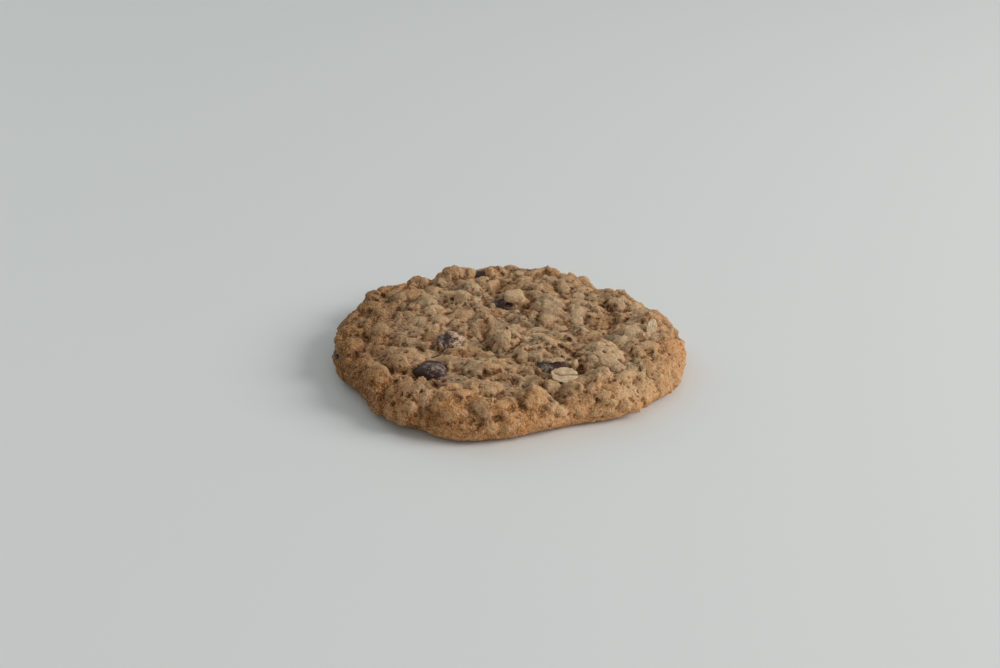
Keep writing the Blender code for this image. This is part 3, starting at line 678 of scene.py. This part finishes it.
def spread(piece, count, spacing, draw):
    """Evenly spread random places on the piece, off its base: (point, way out)."""
    mesh = piece.data
    mesh.calc_loop_triangles()
    corners = numbers(mesh.loop_triangles, "vertices", 3, np.int32)
    points = numbers(mesh.vertices, "co", 3)
    a, b, c = (points[corners[:, k]] for k in range(3))
    cross = np.cross(b - a, c - a)
    area = np.linalg.norm(cross, axis=1)
    middle = (a + b + c) / 3
    normal = cross / np.maximum(area, 1e-12)[:, None]
    area[(middle[:, 2] < LOWEST_STREWN) | (normal[:, 2] < OVERHANG)] = 0
    total = np.cumsum(area)
    kept = np.empty((count, 3))
    chosen = []
    for _ in range(count * STREWN_TRIES):
        if len(chosen) == count:
            break
        i = int(np.searchsorted(total, draw.random() * total[-1]))
        u, v = draw.random(), draw.random()
        if u + v > 1:
            u, v = 1 - u, 1 - v
        place = a[i] + (b[i] - a[i]) * u + (c[i] - a[i]) * v
        done = len(chosen)
        if done and (((kept[:done] - place) ** 2).sum(1) < spacing * spacing).any():
            continue
        kept[done] = place
        chosen.append((Vector(place), Vector(normal[i])))
    return chosen


def draw_strewn(core, draw):
    """Random places, sizes, turns and lucks for what is strewn over the whole skin."""
    drawn = []
    for sort in STREWN:
        spacing = (sort.shortest + sort.longest) / 2 * MM * sort.spacing
        for point, normal in spread(core, sort.count, spacing, draw):
            length = draw.uniform(sort.shortest, sort.longest) * MM
            width = length * draw.uniform(0.62, 0.92)
            height = width * sort.flatness * draw.uniform(0.85, 1.2)
            lean = math.radians(draw.uniform(0, sort.tilt))
            turns = draw.uniform(0, math.tau), draw.uniform(0, math.tau)
            drift = Vector([draw.uniform(-9, 9) for _ in range(3)])
            lucks = [draw.random() for _ in range(4)]
            size = (length, width, height)
            drawn.append((sort, point, normal, size, lean, turns, drift, lucks))
    return drawn


def chip_clearance(point):
    """How far a point lies outside the nearest chip's oval."""
    nearest = 1.0
    for low, high in CHIP_BOXES.values():
        middle = (low + high) / 2
        reach = (high - low).xy.length / 2 / math.sqrt(2)
        nearest = min(nearest, (point - middle).length - reach)
    return nearest


def is_left_out(sort, point, normal, length, lucks, marks, dips):
    """Whether a strewn piece would spoil the plain foot, the smooth front, the rim's outline, a
    chip, a single lump or a dip."""
    front_luck, rim_luck, mark_luck, _ = lucks
    plain = FOOT_TURNS[0] < math.atan2(point.y, point.x) < FOOT_TURNS[1]
    on_foot = plain and point.z < FOOT_HEIGHT
    on_front = plain and normal.z < 0.8 and point.x < 20 * MM
    at_rim = math.hypot(point.x / RIM_ACROSS, point.y / RIM_ALONG) > 0.9 * MM
    return (
        (on_foot and length > (0.8 + 1.6 * front_luck) * MM)
        or (sort.kind == "lump" and (point.z < 2 * FOOT_HEIGHT or normal.z < 0.6))
        or (on_front and front_luck < sort.off_front)
        or (at_rim and point.z > FOOT_HEIGHT and rim_luck < sort.off_rim)
        or chip_clearance(point) < length * sort.clearance
        or (mark_luck < sort.off_lumps and any((point - m).length < l * 0.45 for m, l, _ in marks))
        or (mark_luck < sort.off_dips and any((point - m).length < l * 0.5 for m, l in dips))
    )


def lay_strewn(surface, drawn, marks, dips):
    """Lays what was drawn on the skin. Gives the pieces and their (middle, length, kind, luck)."""
    made = []
    strewn = []
    for sort, point, normal, (length, width, height), lean, turns, drift, lucks in drawn:
        found = surface.ray_cast(point, normal, STREWN_REACH)
        if found[0] is None:
            found = surface.find_nearest(point)
        point, normal = found[:2]
        if is_left_out(sort, point, normal, length, lucks, marks, dips):
            continue
        if sort.kind == "flake" and normal.z < 0.85:  # thicker where it is seen edge on
            height *= 1.5
        middle = point + normal * height * (0.5 - sort.sunk)
        lean *= 0.35 + 0.65 * smoothstep(0.7, 0.95, normal.z)
        place = laid(middle, normal, turns[0], lean, turns[1])
        made.append(blob(place, (length, width, height), sort.uneven, sort.cells, drift))
        strewn.append((middle, length, sort.kind, lucks[3]))
    return made, strewn


# ---------------------------------------------------------------- the dough's skin


def nearness(points, surface, line, width):
    """How near points lie to a line drawn on the skin: 1 on it and 0 beyond its width, with the
    way out of the skin beside each point."""
    samples = []
    for (x, y), (next_x, next_y) in zip(line, line[1:]):
        steps = max(2, int(math.hypot(next_x - x, next_y - y)))
        for k in range(steps + 1):
            samples.append((x + (next_x - x) * k / steps, y + (next_y - y) * k / steps))
    seen = [seen_on(surface, x, y) for x, y in samples]
    places = np.array([place for place, _ in seen])
    outward = np.array([normal for _, normal in seen])
    share = np.zeros(len(points))
    inside = (points > places.min(0) - width) & (points < places.max(0) + width)
    near = np.flatnonzero(inside.all(1))
    gaps = np.linalg.norm(points[near, None] - places[None], axis=2)
    wander = noise_at(points[near], 1.6 * MM)
    broken = noise_at(points[near], 3.1 * MM)
    share[near] = np.clip(1 - (gaps.min(1) / width * 2 * (1 + 0.7 * wander)) ** 2, 0, 1)
    share[near] *= np.clip(0.85 + 1.1 * broken, 0.2, 1)
    directions = np.zeros((len(points), 3))
    directions[near] = outward[gaps.argmin(1)]
    return share, directions


def press_lines(points, surface):
    """Creases pressed in and narrow ridges raised."""
    for width, depth, line in CREASES:
        share, directions = nearness(points, surface, line, width * 1.25 * MM)
        points -= directions * (share**2 * depth * CREASE_DEPTH * MM)[:, None]
    for width, rise, _, line in RIDGES:
        share, directions = nearness(points, surface, line, width * MM)
        points += directions * (share * rise * MM)[:, None]


def press_pits(points, surface, body, draw):
    """The small dark pits that show singly, and pores over the whole skin."""
    for x, y, width, depth in PITS:
        middle, normal = seen_on(surface, x, y)
        press(points, middle, normal, (width * MM, width * MM), depth * MM)
    for middle, normal in spread(body, PORES, PORE_SPACING, draw):
        width = draw.uniform(*PORE_WIDTH) * MM
        depth = draw.uniform(*PORE_DEPTH) * MM
        if chip_clearance(middle) > width:
            press(points, middle, normal, (width, width * 0.8), depth)


def knobs(place, size):
    """From 0 in the creases between knobs of that size to 1 on their crowns."""
    nearest, second = noise.voronoi(place / size)[0][:2]
    return min(1, (second - nearest) * 1.3)


def relief(place, rough):
    """How far the baked skin stands out at a place."""
    warped = place + noise.noise_vector(place / (2.4 * MM)) * 0.7 * MM
    patchy = 1 + 0.7 * noise.noise(place / (9 * MM))
    dough_knobs = 0.2 * rough * patchy * (knobs(warped, 2.9 * MM) - 0.5)
    crumb_knobs = 0.22 * (0.5 + 0.6 * rough) * (knobs(warped, 1.3 * MM) - 0.5)
    fine_grain = 0.16 * noise.fractal(place / (2.6 * MM), 0.7, 2.1, 4)
    return (dough_knobs + crumb_knobs + fine_grain) * MM


def roughen(mesh, marks):
    """The mesh's points with fine relief, gentler on the single lumps and on the plain foot."""
    points = numbers(mesh.vertices, "co", 3)
    normals = numbers(mesh.vertices, "normal", 3)
    turns = np.arctan2(points[:, 1], points[:, 0])
    plain = (turns > FOOT_TURNS[0]) & (turns < FOOT_TURNS[1])
    rough = np.where(plain, 0.6, 0.8)
    rough += (1 - rough) * smoothstep(1 * MM, 7 * MM, points[:, 2])
    for middle, length, tint in marks:
        away = distances(points, middle) / (length * 0.5)
        least = 0.6 if tint == "white" else 0.35
        rough = np.minimum(rough, least + (1 - least) * smoothstep(0.55, 1.0, away))
    out = np.array([relief(Vector(p), r) for p, r in zip(points, rough)])
    points += normals * (out * smoothstep(0.1 * MM, 0.8 * MM, points[:, 2]))[:, None]
    return points


def dough():
    """The cookie's dough as one closed mesh with its colour attributes."""
    noise.seed_set(NOISE_SEED)
    draw = random.Random(STREWN_SEED)
    core = dough_core()
    drawn = draw_strewn(core, draw)
    body, marks, dips = dough_body(core)
    surface = surface_of(body)
    blobs, strewn = lay_strewn(surface, drawn, marks, dips)
    piece = join([twin(body), *blobs])
    piece.name = "baked_dough"
    apply_modifier(piece, "REMESH", mode="VOXEL", voxel_size=DOUGH_CELL)
    keep_largest_island(piece)
    mesh = piece.data
    edges = numbers(mesh.edges, "vertices", 2, np.int32)
    points = numbers(mesh.vertices, "co", 3).astype(np.float64)
    points = around(edges, points, DOUGH_SMOOTHING)
    press_lines(points, surface)
    press_pits(points, surface_of(piece), body, draw)
    move_points(mesh, points)
    points = roughen(mesh, marks)
    top = CAD_BOX[1][2] + TOP_MARGIN
    points[:, 2] = np.clip(points[:, 2], 0, top)
    move_points(mesh, points)
    triangles = sum(len(face.vertices) - 2 for face in mesh.polygons)
    apply_modifier(piece, "DECIMATE", ratio=min(1, DOUGH_TRIANGLES / triangles))
    points = numbers(piece.data.vertices, "co", 3)
    points[:, 2] = np.clip(points[:, 2], 0, top)
    move_points(piece.data, points)
    piece.data.shade_smooth()
    paint_dough(piece, surface, marks, strewn)
    bpy.data.objects.remove(body)
    return piece


# ---------------------------------------------------------------- the dough's colour attributes


def paint_dough(piece, surface, marks, strewn):
    """Two colour attributes that the dough's finish reads.

    form: red is how deep a point lies in a fine crease, for painted shade in the creases and a
    painted highlight on the crowns; green is painted shade in the hollows, the creases, the shade
    patches and on the left side, lowered by the painted light patches; both 0.5 where it is level;
    and blue is how browned the crust is, with painted shade on the left side and painted light on
    the right.
    tint: red is golden, green is pale, blue is greyed: by chocolate near the chips, and as painted
    shade on the back-left rim.
    """
    points = numbers(piece.data.vertices, "co", 3).astype(np.float64)
    crease, painted_shade = depths(piece.data, points, surface)
    golden, pale, grey = tints(points, surface, marks, strewn)
    skin = surface_of(piece)
    # Painted shade darkens the dough at the patches whose share is above 0; painted light pales it
    # at those below 0.
    for x, y, width, share in SHADE_AND_LIGHT_PATCHES:
        middle, _ = seen_on(skin, x, y)
        painted_patch = share * (1 - smoothstep(0.5, 1.2, distances(points, middle) / (width / 2 * MM)))
        if share > 0:
            painted_shade = np.maximum(painted_shade, 0.5 + painted_patch)
        else:
            pale = np.maximum(pale, -1.2 * painted_patch)
            golden *= 1 + 0.8 * painted_patch
            grey *= 1 + painted_patch
            painted_shade = np.minimum(painted_shade, 1 + 0.6 * painted_patch)
            crease = np.maximum(0, crease + 0.14 * painted_patch)
    paint(piece.data, "form", crease, painted_shade, browning_and_side_shading(points))
    paint(piece.data, "tint", golden, pale, grey)


def depths(mesh, points, surface):
    """How deep points lie in fine creases, for painted shade and highlights, and painted shade in
    the broad hollows, the hollows and creases that show singly, and on the left side.
    """
    edges = numbers(mesh.edges, "vertices", 2, np.int32)
    normals = numbers(mesh.vertices, "normal", 3)
    fine, middling, broad = (
        ((around(edges, points, rounds) - points) * normals).sum(1) / MM for rounds in (3, 14, 60)
    )
    # The left side, away from the window, gets painted shade.
    left = smoothstep(16, 54, -points[:, 0] / MM)
    # Painted shade in fine creases, stronger on the left side; the finish also paints a highlight
    # where the skin bulges out.
    crease = np.clip(0.5 + (fine / 0.46 + middling / 1.3) * (1 + 0.3 * left), 0, 1)
    # Painted shade in broad hollows, the deeper the darker.
    painted_shade = np.clip(0.5 + broad / 1.6, 0, 1)
    # Painted shade along the creases that show singly.
    for width, _, line in CREASES:
        share, _ = nearness(points, surface, line, width * 1.2 * MM)
        painted_shade = np.maximum(painted_shade, 0.5 + 0.38 * share)
    # Painted shade in the listed hollows.
    for x, y, length, width, depth, *turn in HOLLOWS:
        middle, normal = seen_on(surface, x, y)
        axes = np.array(laid(Vector(), normal, math.radians(sum(turn))).to_3x3())
        local = ((points - np.array(middle)) @ axes)[:, :2]
        away = np.hypot(*(local / (length * MM, width * MM)).T) * 2
        share = (1 - smoothstep(0.6, 1.3, away)) * (points[:, 2] > 0.2 * MM)
        share *= distances(points, middle) < max(length, width) * MM
        painted_shade = np.maximum(painted_shade, 0.5 + 0.32 * min(1, depth / 1.4) * share)
    # Painted shade over the whole left side.
    return crease, np.maximum(painted_shade, 0.45 + 0.42 * left)


def browning_and_side_shading(points):
    """How browned the crust is: the foot and the rim most, the middle of the top least; with
    painted shade on the left side and painted light on the right.
    """
    across, along, height = (points / MM).T
    patches = noise_at(points, 11 * MM)
    rim = smoothstep(0.74, 1.08, np.hypot(across / RIM_ACROSS, along / RIM_ALONG) + patches * 0.2)
    foot = 1 - smoothstep(1.5, 7.5, height + patches * 4)
    front = smoothstep(-0.6, 0.6, (across * 0.4 - along) / np.hypot(across, along))
    left = smoothstep(12, 56, -across)
    crust = np.maximum(rim * (0.4 + 0.26 * front), foot * (0.68 + 0.14 * front))
    # Painted shade: the left side, away from the window, is made browner and darker.
    crust += left * (0.08 + 0.36 * foot + 0.3 * rim)
    # Painted light: the right side, towards the window, is less browned.
    crust -= 0.06 * smoothstep(20, 55, across)
    return np.clip(crust, 0, 1)


def tints(points, surface, marks, strewn):
    """Golden, pale and greyed shares, from the lumps, the flakes and the chips near a point. The
    grey is chocolate near the chips and painted shade on the back-left rim.
    """
    golden = np.zeros(len(points))
    grey = np.zeros(len(points))
    pale = 0.85 * smoothstep(8 * MM, 40 * MM, points[:, 0])
    pale *= smoothstep(2 * MM, 32 * MM, -points[:, 1])
    shares = {
        "plain": (),
        "orange": ((golden, 0.75),),
        "yellow": ((golden, 0.5), (pale, 0.4)),
        "pale": ((pale, 0.6),),
        "white": ((pale, 1.0),),
        # grey: chocolate near the chips, painted shade on the back-left rim.
        "grey": ((grey, 0.6),),
    }
    for middle, length, tint in marks:
        near = 1 - smoothstep(0.6, 1.25, distances(points, middle) / (length * 0.5))
        for target, strength in shares[tint]:
            np.maximum(target, strength * near, out=target)
    for width, _, tint, line in RIDGES:
        share, _ = nearness(points, surface, line, width * 1.3 * MM)
        for target, strength in shares[tint][:1]:
            np.maximum(target, strength * share, out=target)
    tree = kdtree.KDTree(len(strewn))
    for i, (middle, *_) in enumerate(strewn):
        tree.insert(middle, i)
    tree.balance()
    for i, point in enumerate(points):
        _, nearest, away = tree.find(Vector(point))
        _, length, kind, luck = strewn[nearest]
        if kind == "crumb" or away > length * 0.6:
            continue
        share = 1 - away / (length * 0.6)
        if luck < PALE_LUCK:
            pale[i] = max(pale[i], min(0.6, 1.6 * share))
        elif luck < GREY_LUCK:
            grey[i] = max(grey[i], min(0.35, 1.2 * share))
        elif luck > GOLDEN_LUCK:
            golden[i] = max(golden[i], min(0.6, 1.6 * share))
    for (low, high), look in zip(CHIP_BOXES.values(), CHIP_LOOKS.values()):
        away = distances(points, (low + high) / 2) / ((high - low).xy.length / 2.8)
        np.maximum(grey, look.greying * (1 - smoothstep(0.85, 1.4, away)), out=grey)
    return golden, pale, grey


# ---------------------------------------------------------------- chips and bare flakes


def chocolate_chip(node, look):
    """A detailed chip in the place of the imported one, softly wrinkled. Its attribute says in red
    how thickly bloom films it over, and in green how much crumb is in the film."""
    piece = object_of(packed_copy(node), node.replace("chip", "chocolate_chip"))
    apply_modifier(piece, "SUBSURF", levels=2, render_levels=2)
    mesh = piece.data
    low, high = CHIP_BOXES[node]
    middle = np.array((low + high) / 2)
    points = numbers(mesh.vertices, "co", 3).astype(np.float64)
    normals = numbers(mesh.vertices, "normal", 3)
    swell = fractal_at(points, 5 * MM, 0.8, 2.0, 2)
    wrinkle = fractal_at(points, 1.3 * MM, 0.8, 2.2, 3)
    top = (points[:, 2] - middle[2]) / (high[2] - low[2]) * 2
    across = (points[:, 0] - middle[0]) / (high[0] - low[0]) * 2
    along = (middle[1] - points[:, 1]) / (high[1] - low[1]) * 2
    bulk = smoothstep(-0.5, 0.6, across) * smoothstep(-0.2, 0.8, along) * look.bulge * MM
    points += normals * ((swell * 0.35 + wrinkle * look.wrinkles) * MM + bulk)[:, None]
    narrowed = smoothstep(0.1, 1.0, -across) * look.taper
    points[:, 1:] += (middle[1:] - points[:, 1:]) * narrowed[:, None]
    move_points(mesh, points)
    mesh.shade_smooth()
    patch = fractal_at(points, 2.4 * MM, 0.7, 2.2, 3)
    from_spot = ((across - look.right) / 0.5) ** 2 + ((along - look.front) / 0.5) ** 2
    thick = look.film + patch * 0.5 + look.spot * np.exp(-from_spot)
    thick = np.clip(thick, 0, 1) * smoothstep(-0.8, 0.2, top)
    paint(mesh, "film", thick, look.crumb * smoothstep(-0.4, 0.3, across + patch * 0.3))
    return piece


def bare_flakes(surface):
    """Pale oat flakes with a crease along the middle, as one mesh."""
    draw = random.Random(FLAKE_SEED)
    made = []
    for x, y, length, width, turn, lift, tilt, folded in BARE_FLAKES:
        point, _ = seen_on(surface, x, y, lift * MM)
        bm = bmesh.new()
        bmesh.ops.create_icosphere(bm, subdivisions=5, radius=1)
        drift = Vector([draw.uniform(-9, 9) for _ in range(3)])
        # The fold attribute says how deep a point lies in the fold; the finish paints shade there.
        fold = bm.verts.layers.float_color.new("fold")
        for vertex in bm.verts:
            along, across, up = vertex.co
            squared = max(abs(along), abs(across), 1e-6) / max(math.hypot(along, across), 1e-6)
            along, across = along / squared**0.15, across / squared**0.15
            edge = 1 + 0.16 * noise.fractal(vertex.co * 3.0 + drift, 0.6, 2.0, 3)
            wander = 0.1 * noise.noise(Vector((along * 2, 0, 0)) + drift)
            from_fold = across - (0.02 + 0.16 * along * along + wander)
            crease = folded * math.exp(-((from_fold / 0.1) ** 2)) * max(0.0, 1 - along**6)
            ridges = 0.12 * noise.noise(Vector((along * 2, across * 9, 0)) + drift)
            cup = 0.16 * (across * across + along * along * 0.5)
            height = math.copysign(abs(up) ** 0.7, up) * 0.3
            height += cup + (ridges - 0.5 * crease) * (up > 0)
            vertex[fold] = (crease, 0, 0, 1)
            vertex.co = Vector((along * length / 2 * edge, across * width / 2 * edge, height)) * MM
        turn = math.radians(turn)
        bm.transform(laid(point + UP * lift * MM, UP, turn, math.radians(tilt), -turn))
        made.append(object_of(bm, "bare_oat_flakes"))
    piece = join(made)
    piece.data.shade_smooth()
    return piece


# ---------------------------------------------------------------- finishes


class Wire:
    """A shader socket that takes part in sums."""

    def __init__(self, finish, socket):
        self.finish = finish
        self.socket = socket

    def sum(self, operation, *values):
        return self.finish.node("ShaderNodeMath", {"operation": operation}, *values)

    def __add__(self, other):
        return self.sum("ADD", self, other)

    __radd__ = __add__

    def __sub__(self, other):
        return self.sum("SUBTRACT", self, other)

    def __rsub__(self, other):
        return self.sum("SUBTRACT", other, self)

    def __mul__(self, other):
        return self.sum("MULTIPLY", self, other)

    __rmul__ = __mul__

    def ramp(self, low, high):
        """0 below low, 1 above high, and smooth between."""
        settings = {"interpolation_type": "SMOOTHSTEP"}
        return self.finish.node("ShaderNodeMapRange", settings, self, low, high)


class Finish:
    """A procedural material under construction."""

    def __init__(self, name):
        self.material = bpy.data.materials.new(name)
        self.material.use_nodes = True
        self.tree = self.material.node_tree
        self.shader = self.tree.nodes["Principled BSDF"]
        self.place = self.node("ShaderNodeTexCoord", {}, output="Object")

    def fill(self, socket, value):
        """Links the socket to a wire, or gives it a plain value unless that is None."""
        if isinstance(value, Wire):
            self.tree.links.new(value.socket, socket)
        elif value is not None:
            socket.default_value = value

    def node(self, kind, settings, *values, output=0, **named):
        """Adds a node: its settings first, then its sockets' values or links."""
        node = self.tree.nodes.new(kind)
        for name, value in settings.items():
            setattr(node, name, value)
        for socket, value in zip([socket for socket in node.inputs if socket.enabled], values):
            self.fill(socket, value)
        for name, value in named.items():
            self.fill(node.inputs[name], value)
        live = [socket for socket in node.outputs if socket.enabled]
        return Wire(self, live[output] if isinstance(output, int) else node.outputs[output])

    def grain(self, size, detail=2.0, rough=0.5, warp=0.0):
        """Noise from 0 to 1 whose lumps are of that size."""
        inputs = {"Scale": 1 / size, "Detail": detail, "Roughness": rough, "Distortion": warp}
        return self.node("ShaderNodeTexNoise", {}, Vector=self.place, **inputs)

    def cells(self, size):
        """The distance from the middles of grains of that size."""
        return self.node("ShaderNodeTexVoronoi", {}, Vector=self.place, Scale=1 / size)

    def mix(self, share, below, above):
        """The two colours mixed by the share."""
        below, above = (c if isinstance(c, Wire) else (*c, 1) for c in (below, above))
        return self.node("ShaderNodeMix", {"data_type": "RGBA"}, share, below, above)

    def marks(self, name):
        """The red, green and blue of the piece's attribute."""
        colour = self.node("ShaderNodeAttribute", {"attribute_name": name}, output="Color")
        split = self.node("ShaderNodeSeparateColor", {}, colour).socket.node
        return [Wire(self, socket) for socket in split.outputs]

    def bump(self, height, strength, distance, normal=None):
        inputs = {"Strength": strength, "Distance": distance, "Height": height, "Normal": normal}
        return self.node("ShaderNodeBump", {}, **inputs)

    def finished(self, colour, roughness, normal=None, **constants):
        inputs = {"Base Color": colour, "Roughness": roughness, "Normal": normal, **constants}
        for name, value in inputs.items():
            self.fill(self.shader.inputs[name.replace("_", " ")], value)
        return self.material


def dough_finish():
    finish = Finish("baked_dough")
    # The form attribute: painted shade and highlights from the creases, painted shade in the
    # hollows, and browning with painted shade on the left side and painted light on the right.
    crease, painted_shade, brown = finish.marks("form")
    golden, pale, grey = finish.marks("tint")
    mottle = finish.grain(9 * MM, 3, 0.55)
    speck = finish.grain(0.7 * MM, 3, 0.65)
    fine = finish.grain(0.42 * MM, 2, 0.6)
    granule = finish.cells(0.75 * MM)
    crumbly = finish.grain(5 * MM, 2, 0.5).ramp(0.4, 0.62)
    crumbly = crumbly * 0.8 + brown * 0.6
    chocolate_grey_and_rim_shade = grey * finish.grain(1.6 * MM, 3, 0.6).ramp(0.3, 0.6)
    dark_specks = speck.ramp(0.56, 0.65) * (0.42 + 0.5 * brown + 0.2 * painted_shade)
    layers = (
        (pale * 0.75, tone(218, 186, 146)),
        (golden * (0.6 - 0.5 * brown), tone(200, 148, 96)),
        (brown * (0.85 + 0.6 * finish.grain(2.4 * MM, 2, 0.5)), tone(205, 135, 72)),
        (brown.ramp(0.6, 1.0) * 0.6, tone(140, 80, 36)),
        (chocolate_grey_and_rim_shade * 0.75, tone(134, 120, 104)),
        # Painted highlight on the crowns, where the skin bulges out.
        ((0.5 - crease).ramp(0.02, 0.4) * 0.5, tone(224, 192, 152)),
        # Painted shade in hollows, in the creases that show singly, at the shade patches and on
        # the left side.
        (painted_shade.ramp(0.45, 0.9) * 0.6, tone(112, 66, 16)),
        # Painted shade in the fine creases.
        (crease.ramp(0.52, 0.9) * (0.85 - 0.3 * brown), tone(86, 40, 6)),
        (dark_specks, tone(112, 60, 16)),
        (fine.ramp(0.53, 0.64) * (0.32 + 0.4 * brown), tone(234, 194, 142)),
        (granule.ramp(0.55, 0.95) * (0.06 + 0.3 * crumbly), tone(112, 62, 18)),
    )
    colour = finish.mix(mottle.ramp(0.32, 0.68), tone(160, 135, 108), tone(204, 162, 118))
    for share, layer in layers:
        colour = finish.mix(share, colour, layer)
    normal = finish.bump(finish.grain(1.1 * MM, 3, 0.65), 0.7, 0.3 * MM)
    crumbs = speck + fine * 0.8 - granule * (0.2 + 0.6 * crumbly)
    normal = finish.bump(crumbs, 1.0, 0.36 * MM, normal)
    return finish.finished(
        colour,
        0.66 + 0.22 * speck,
        normal,
        Specular_IOR_Level=0.3,
        Subsurface_Weight=0.15,
        Subsurface_Radius=(1.0, 0.5, 0.25),
        Subsurface_Scale=0.5 * MM,
    )


def chocolate_finish(name):
    finish = Finish(name)
    film, crumb, _ = finish.marks("film")
    streak = finish.grain(0.7 * MM, 4, 0.7, 1.2)
    colour = finish.mix(finish.grain(1.5 * MM, 3), tone(48, 29, 26), tone(76, 52, 46))
    bloom = (film + (streak - 0.5) * 2.8).ramp(0.4, 0.95)
    film_colour = finish.mix(crumb, tone(176, 158, 146), tone(210, 176, 152))
    colour = finish.mix(bloom * (0.8 + 0.15 * crumb), colour, film_colour)
    normal = finish.bump(finish.grain(0.6 * MM, 2, 0.5), 0.35, 0.12 * MM)
    return finish.finished(colour, 0.42 + 0.3 * bloom, normal, Specular_IOR_Level=0.22)


def oat_finish():
    finish = Finish("bare_oat")
    fold, _, _ = finish.marks("fold")
    mottle = finish.grain(1.6 * MM, 3, 0.6).ramp(0.35, 0.7)
    specks = finish.grain(0.5 * MM, 2).ramp(0.58, 0.75) * 0.4
    colour = finish.mix(mottle, tone(200, 170, 134), tone(232, 206, 172))
    colour = finish.mix(specks, colour, tone(150, 118, 80))
    # Painted shade along the fold.
    colour = finish.mix(fold.ramp(0.3, 0.9) * 0.6, colour, tone(110, 84, 52))
    normal = finish.bump(finish.grain(0.6 * MM, 2, 0.6), 0.4, 0.12 * MM)
    return finish.finished(colour, 0.62, normal, Specular_IOR_Level=0.4)


# ---------------------------------------------------------------- stage and light


def make_floor():
    bm = bmesh.new()
    bmesh.ops.create_grid(bm, x_segments=1, y_segments=1, size=FLOOR_REACH)
    floor = object_of(bm, "floor")
    finish = Finish("pale_floor")
    floor.data.materials.append(finish.finished(FLOOR_COLOUR, 0.5, Specular_IOR_Level=0.3))


def area_light(name, place, size, power, colour):
    data = bpy.data.lights.new(name, "AREA")
    data.shape = "DISK"
    data.size = size
    data.energy = power
    data.color = colour
    light = bpy.data.objects.new(name, data)
    light.location = place
    light.rotation_euler = (-Vector(place)).to_track_quat("-Z", "Y").to_euler()
    bpy.context.scene.collection.objects.link(light)


def make_lights():
    world = bpy.data.worlds.new("room")
    world.use_nodes = True
    nodes, links = world.node_tree.nodes, world.node_tree.links
    background = nodes["Background"]
    direction = nodes.new("ShaderNodeTexCoord")
    side = nodes.new("ShaderNodeVectorMath")
    side.operation = "DOT_PRODUCT"
    side.inputs[1].default_value = BRIGHT_SIDE
    ramp = nodes.new("ShaderNodeMapRange")
    links.new(direction.outputs["Generated"], side.inputs[0])
    links.new(side.outputs["Value"], ramp.inputs["Value"])
    dark, bright = SURROUND_LIGHT
    ends = {"From Min": -0.9, "From Max": 0.9, "To Min": dark, "To Max": bright}
    for name, value in ends.items():
        ramp.inputs[name].default_value = value
    links.new(ramp.outputs["Result"], background.inputs["Strength"])
    background.inputs["Color"].default_value = SURROUND_COLOUR
    bpy.context.scene.world = world
    for light in LIGHTS:
        area_light(*light)
    bpy.context.scene.view_settings.view_transform = "Standard"


def main():
    make_camera()
    make_floor()
    make_lights()
    piece = dough()
    piece.data.materials.clear()
    piece.data.materials.append(dough_finish())
    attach(piece, "root")
    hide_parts("cookie")

    chocolate = chocolate_finish("dark_chocolate")
    for node, look in CHIP_LOOKS.items():
        chip = chocolate_chip(node, look)
        chip.data.materials.clear()
        chip.data.materials.append(chocolate)
        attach(chip, "root")
        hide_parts(node)

    flakes = bare_flakes(surface_of(piece))
    flakes.data.materials.append(oat_finish())
    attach(flakes, "root")


main()
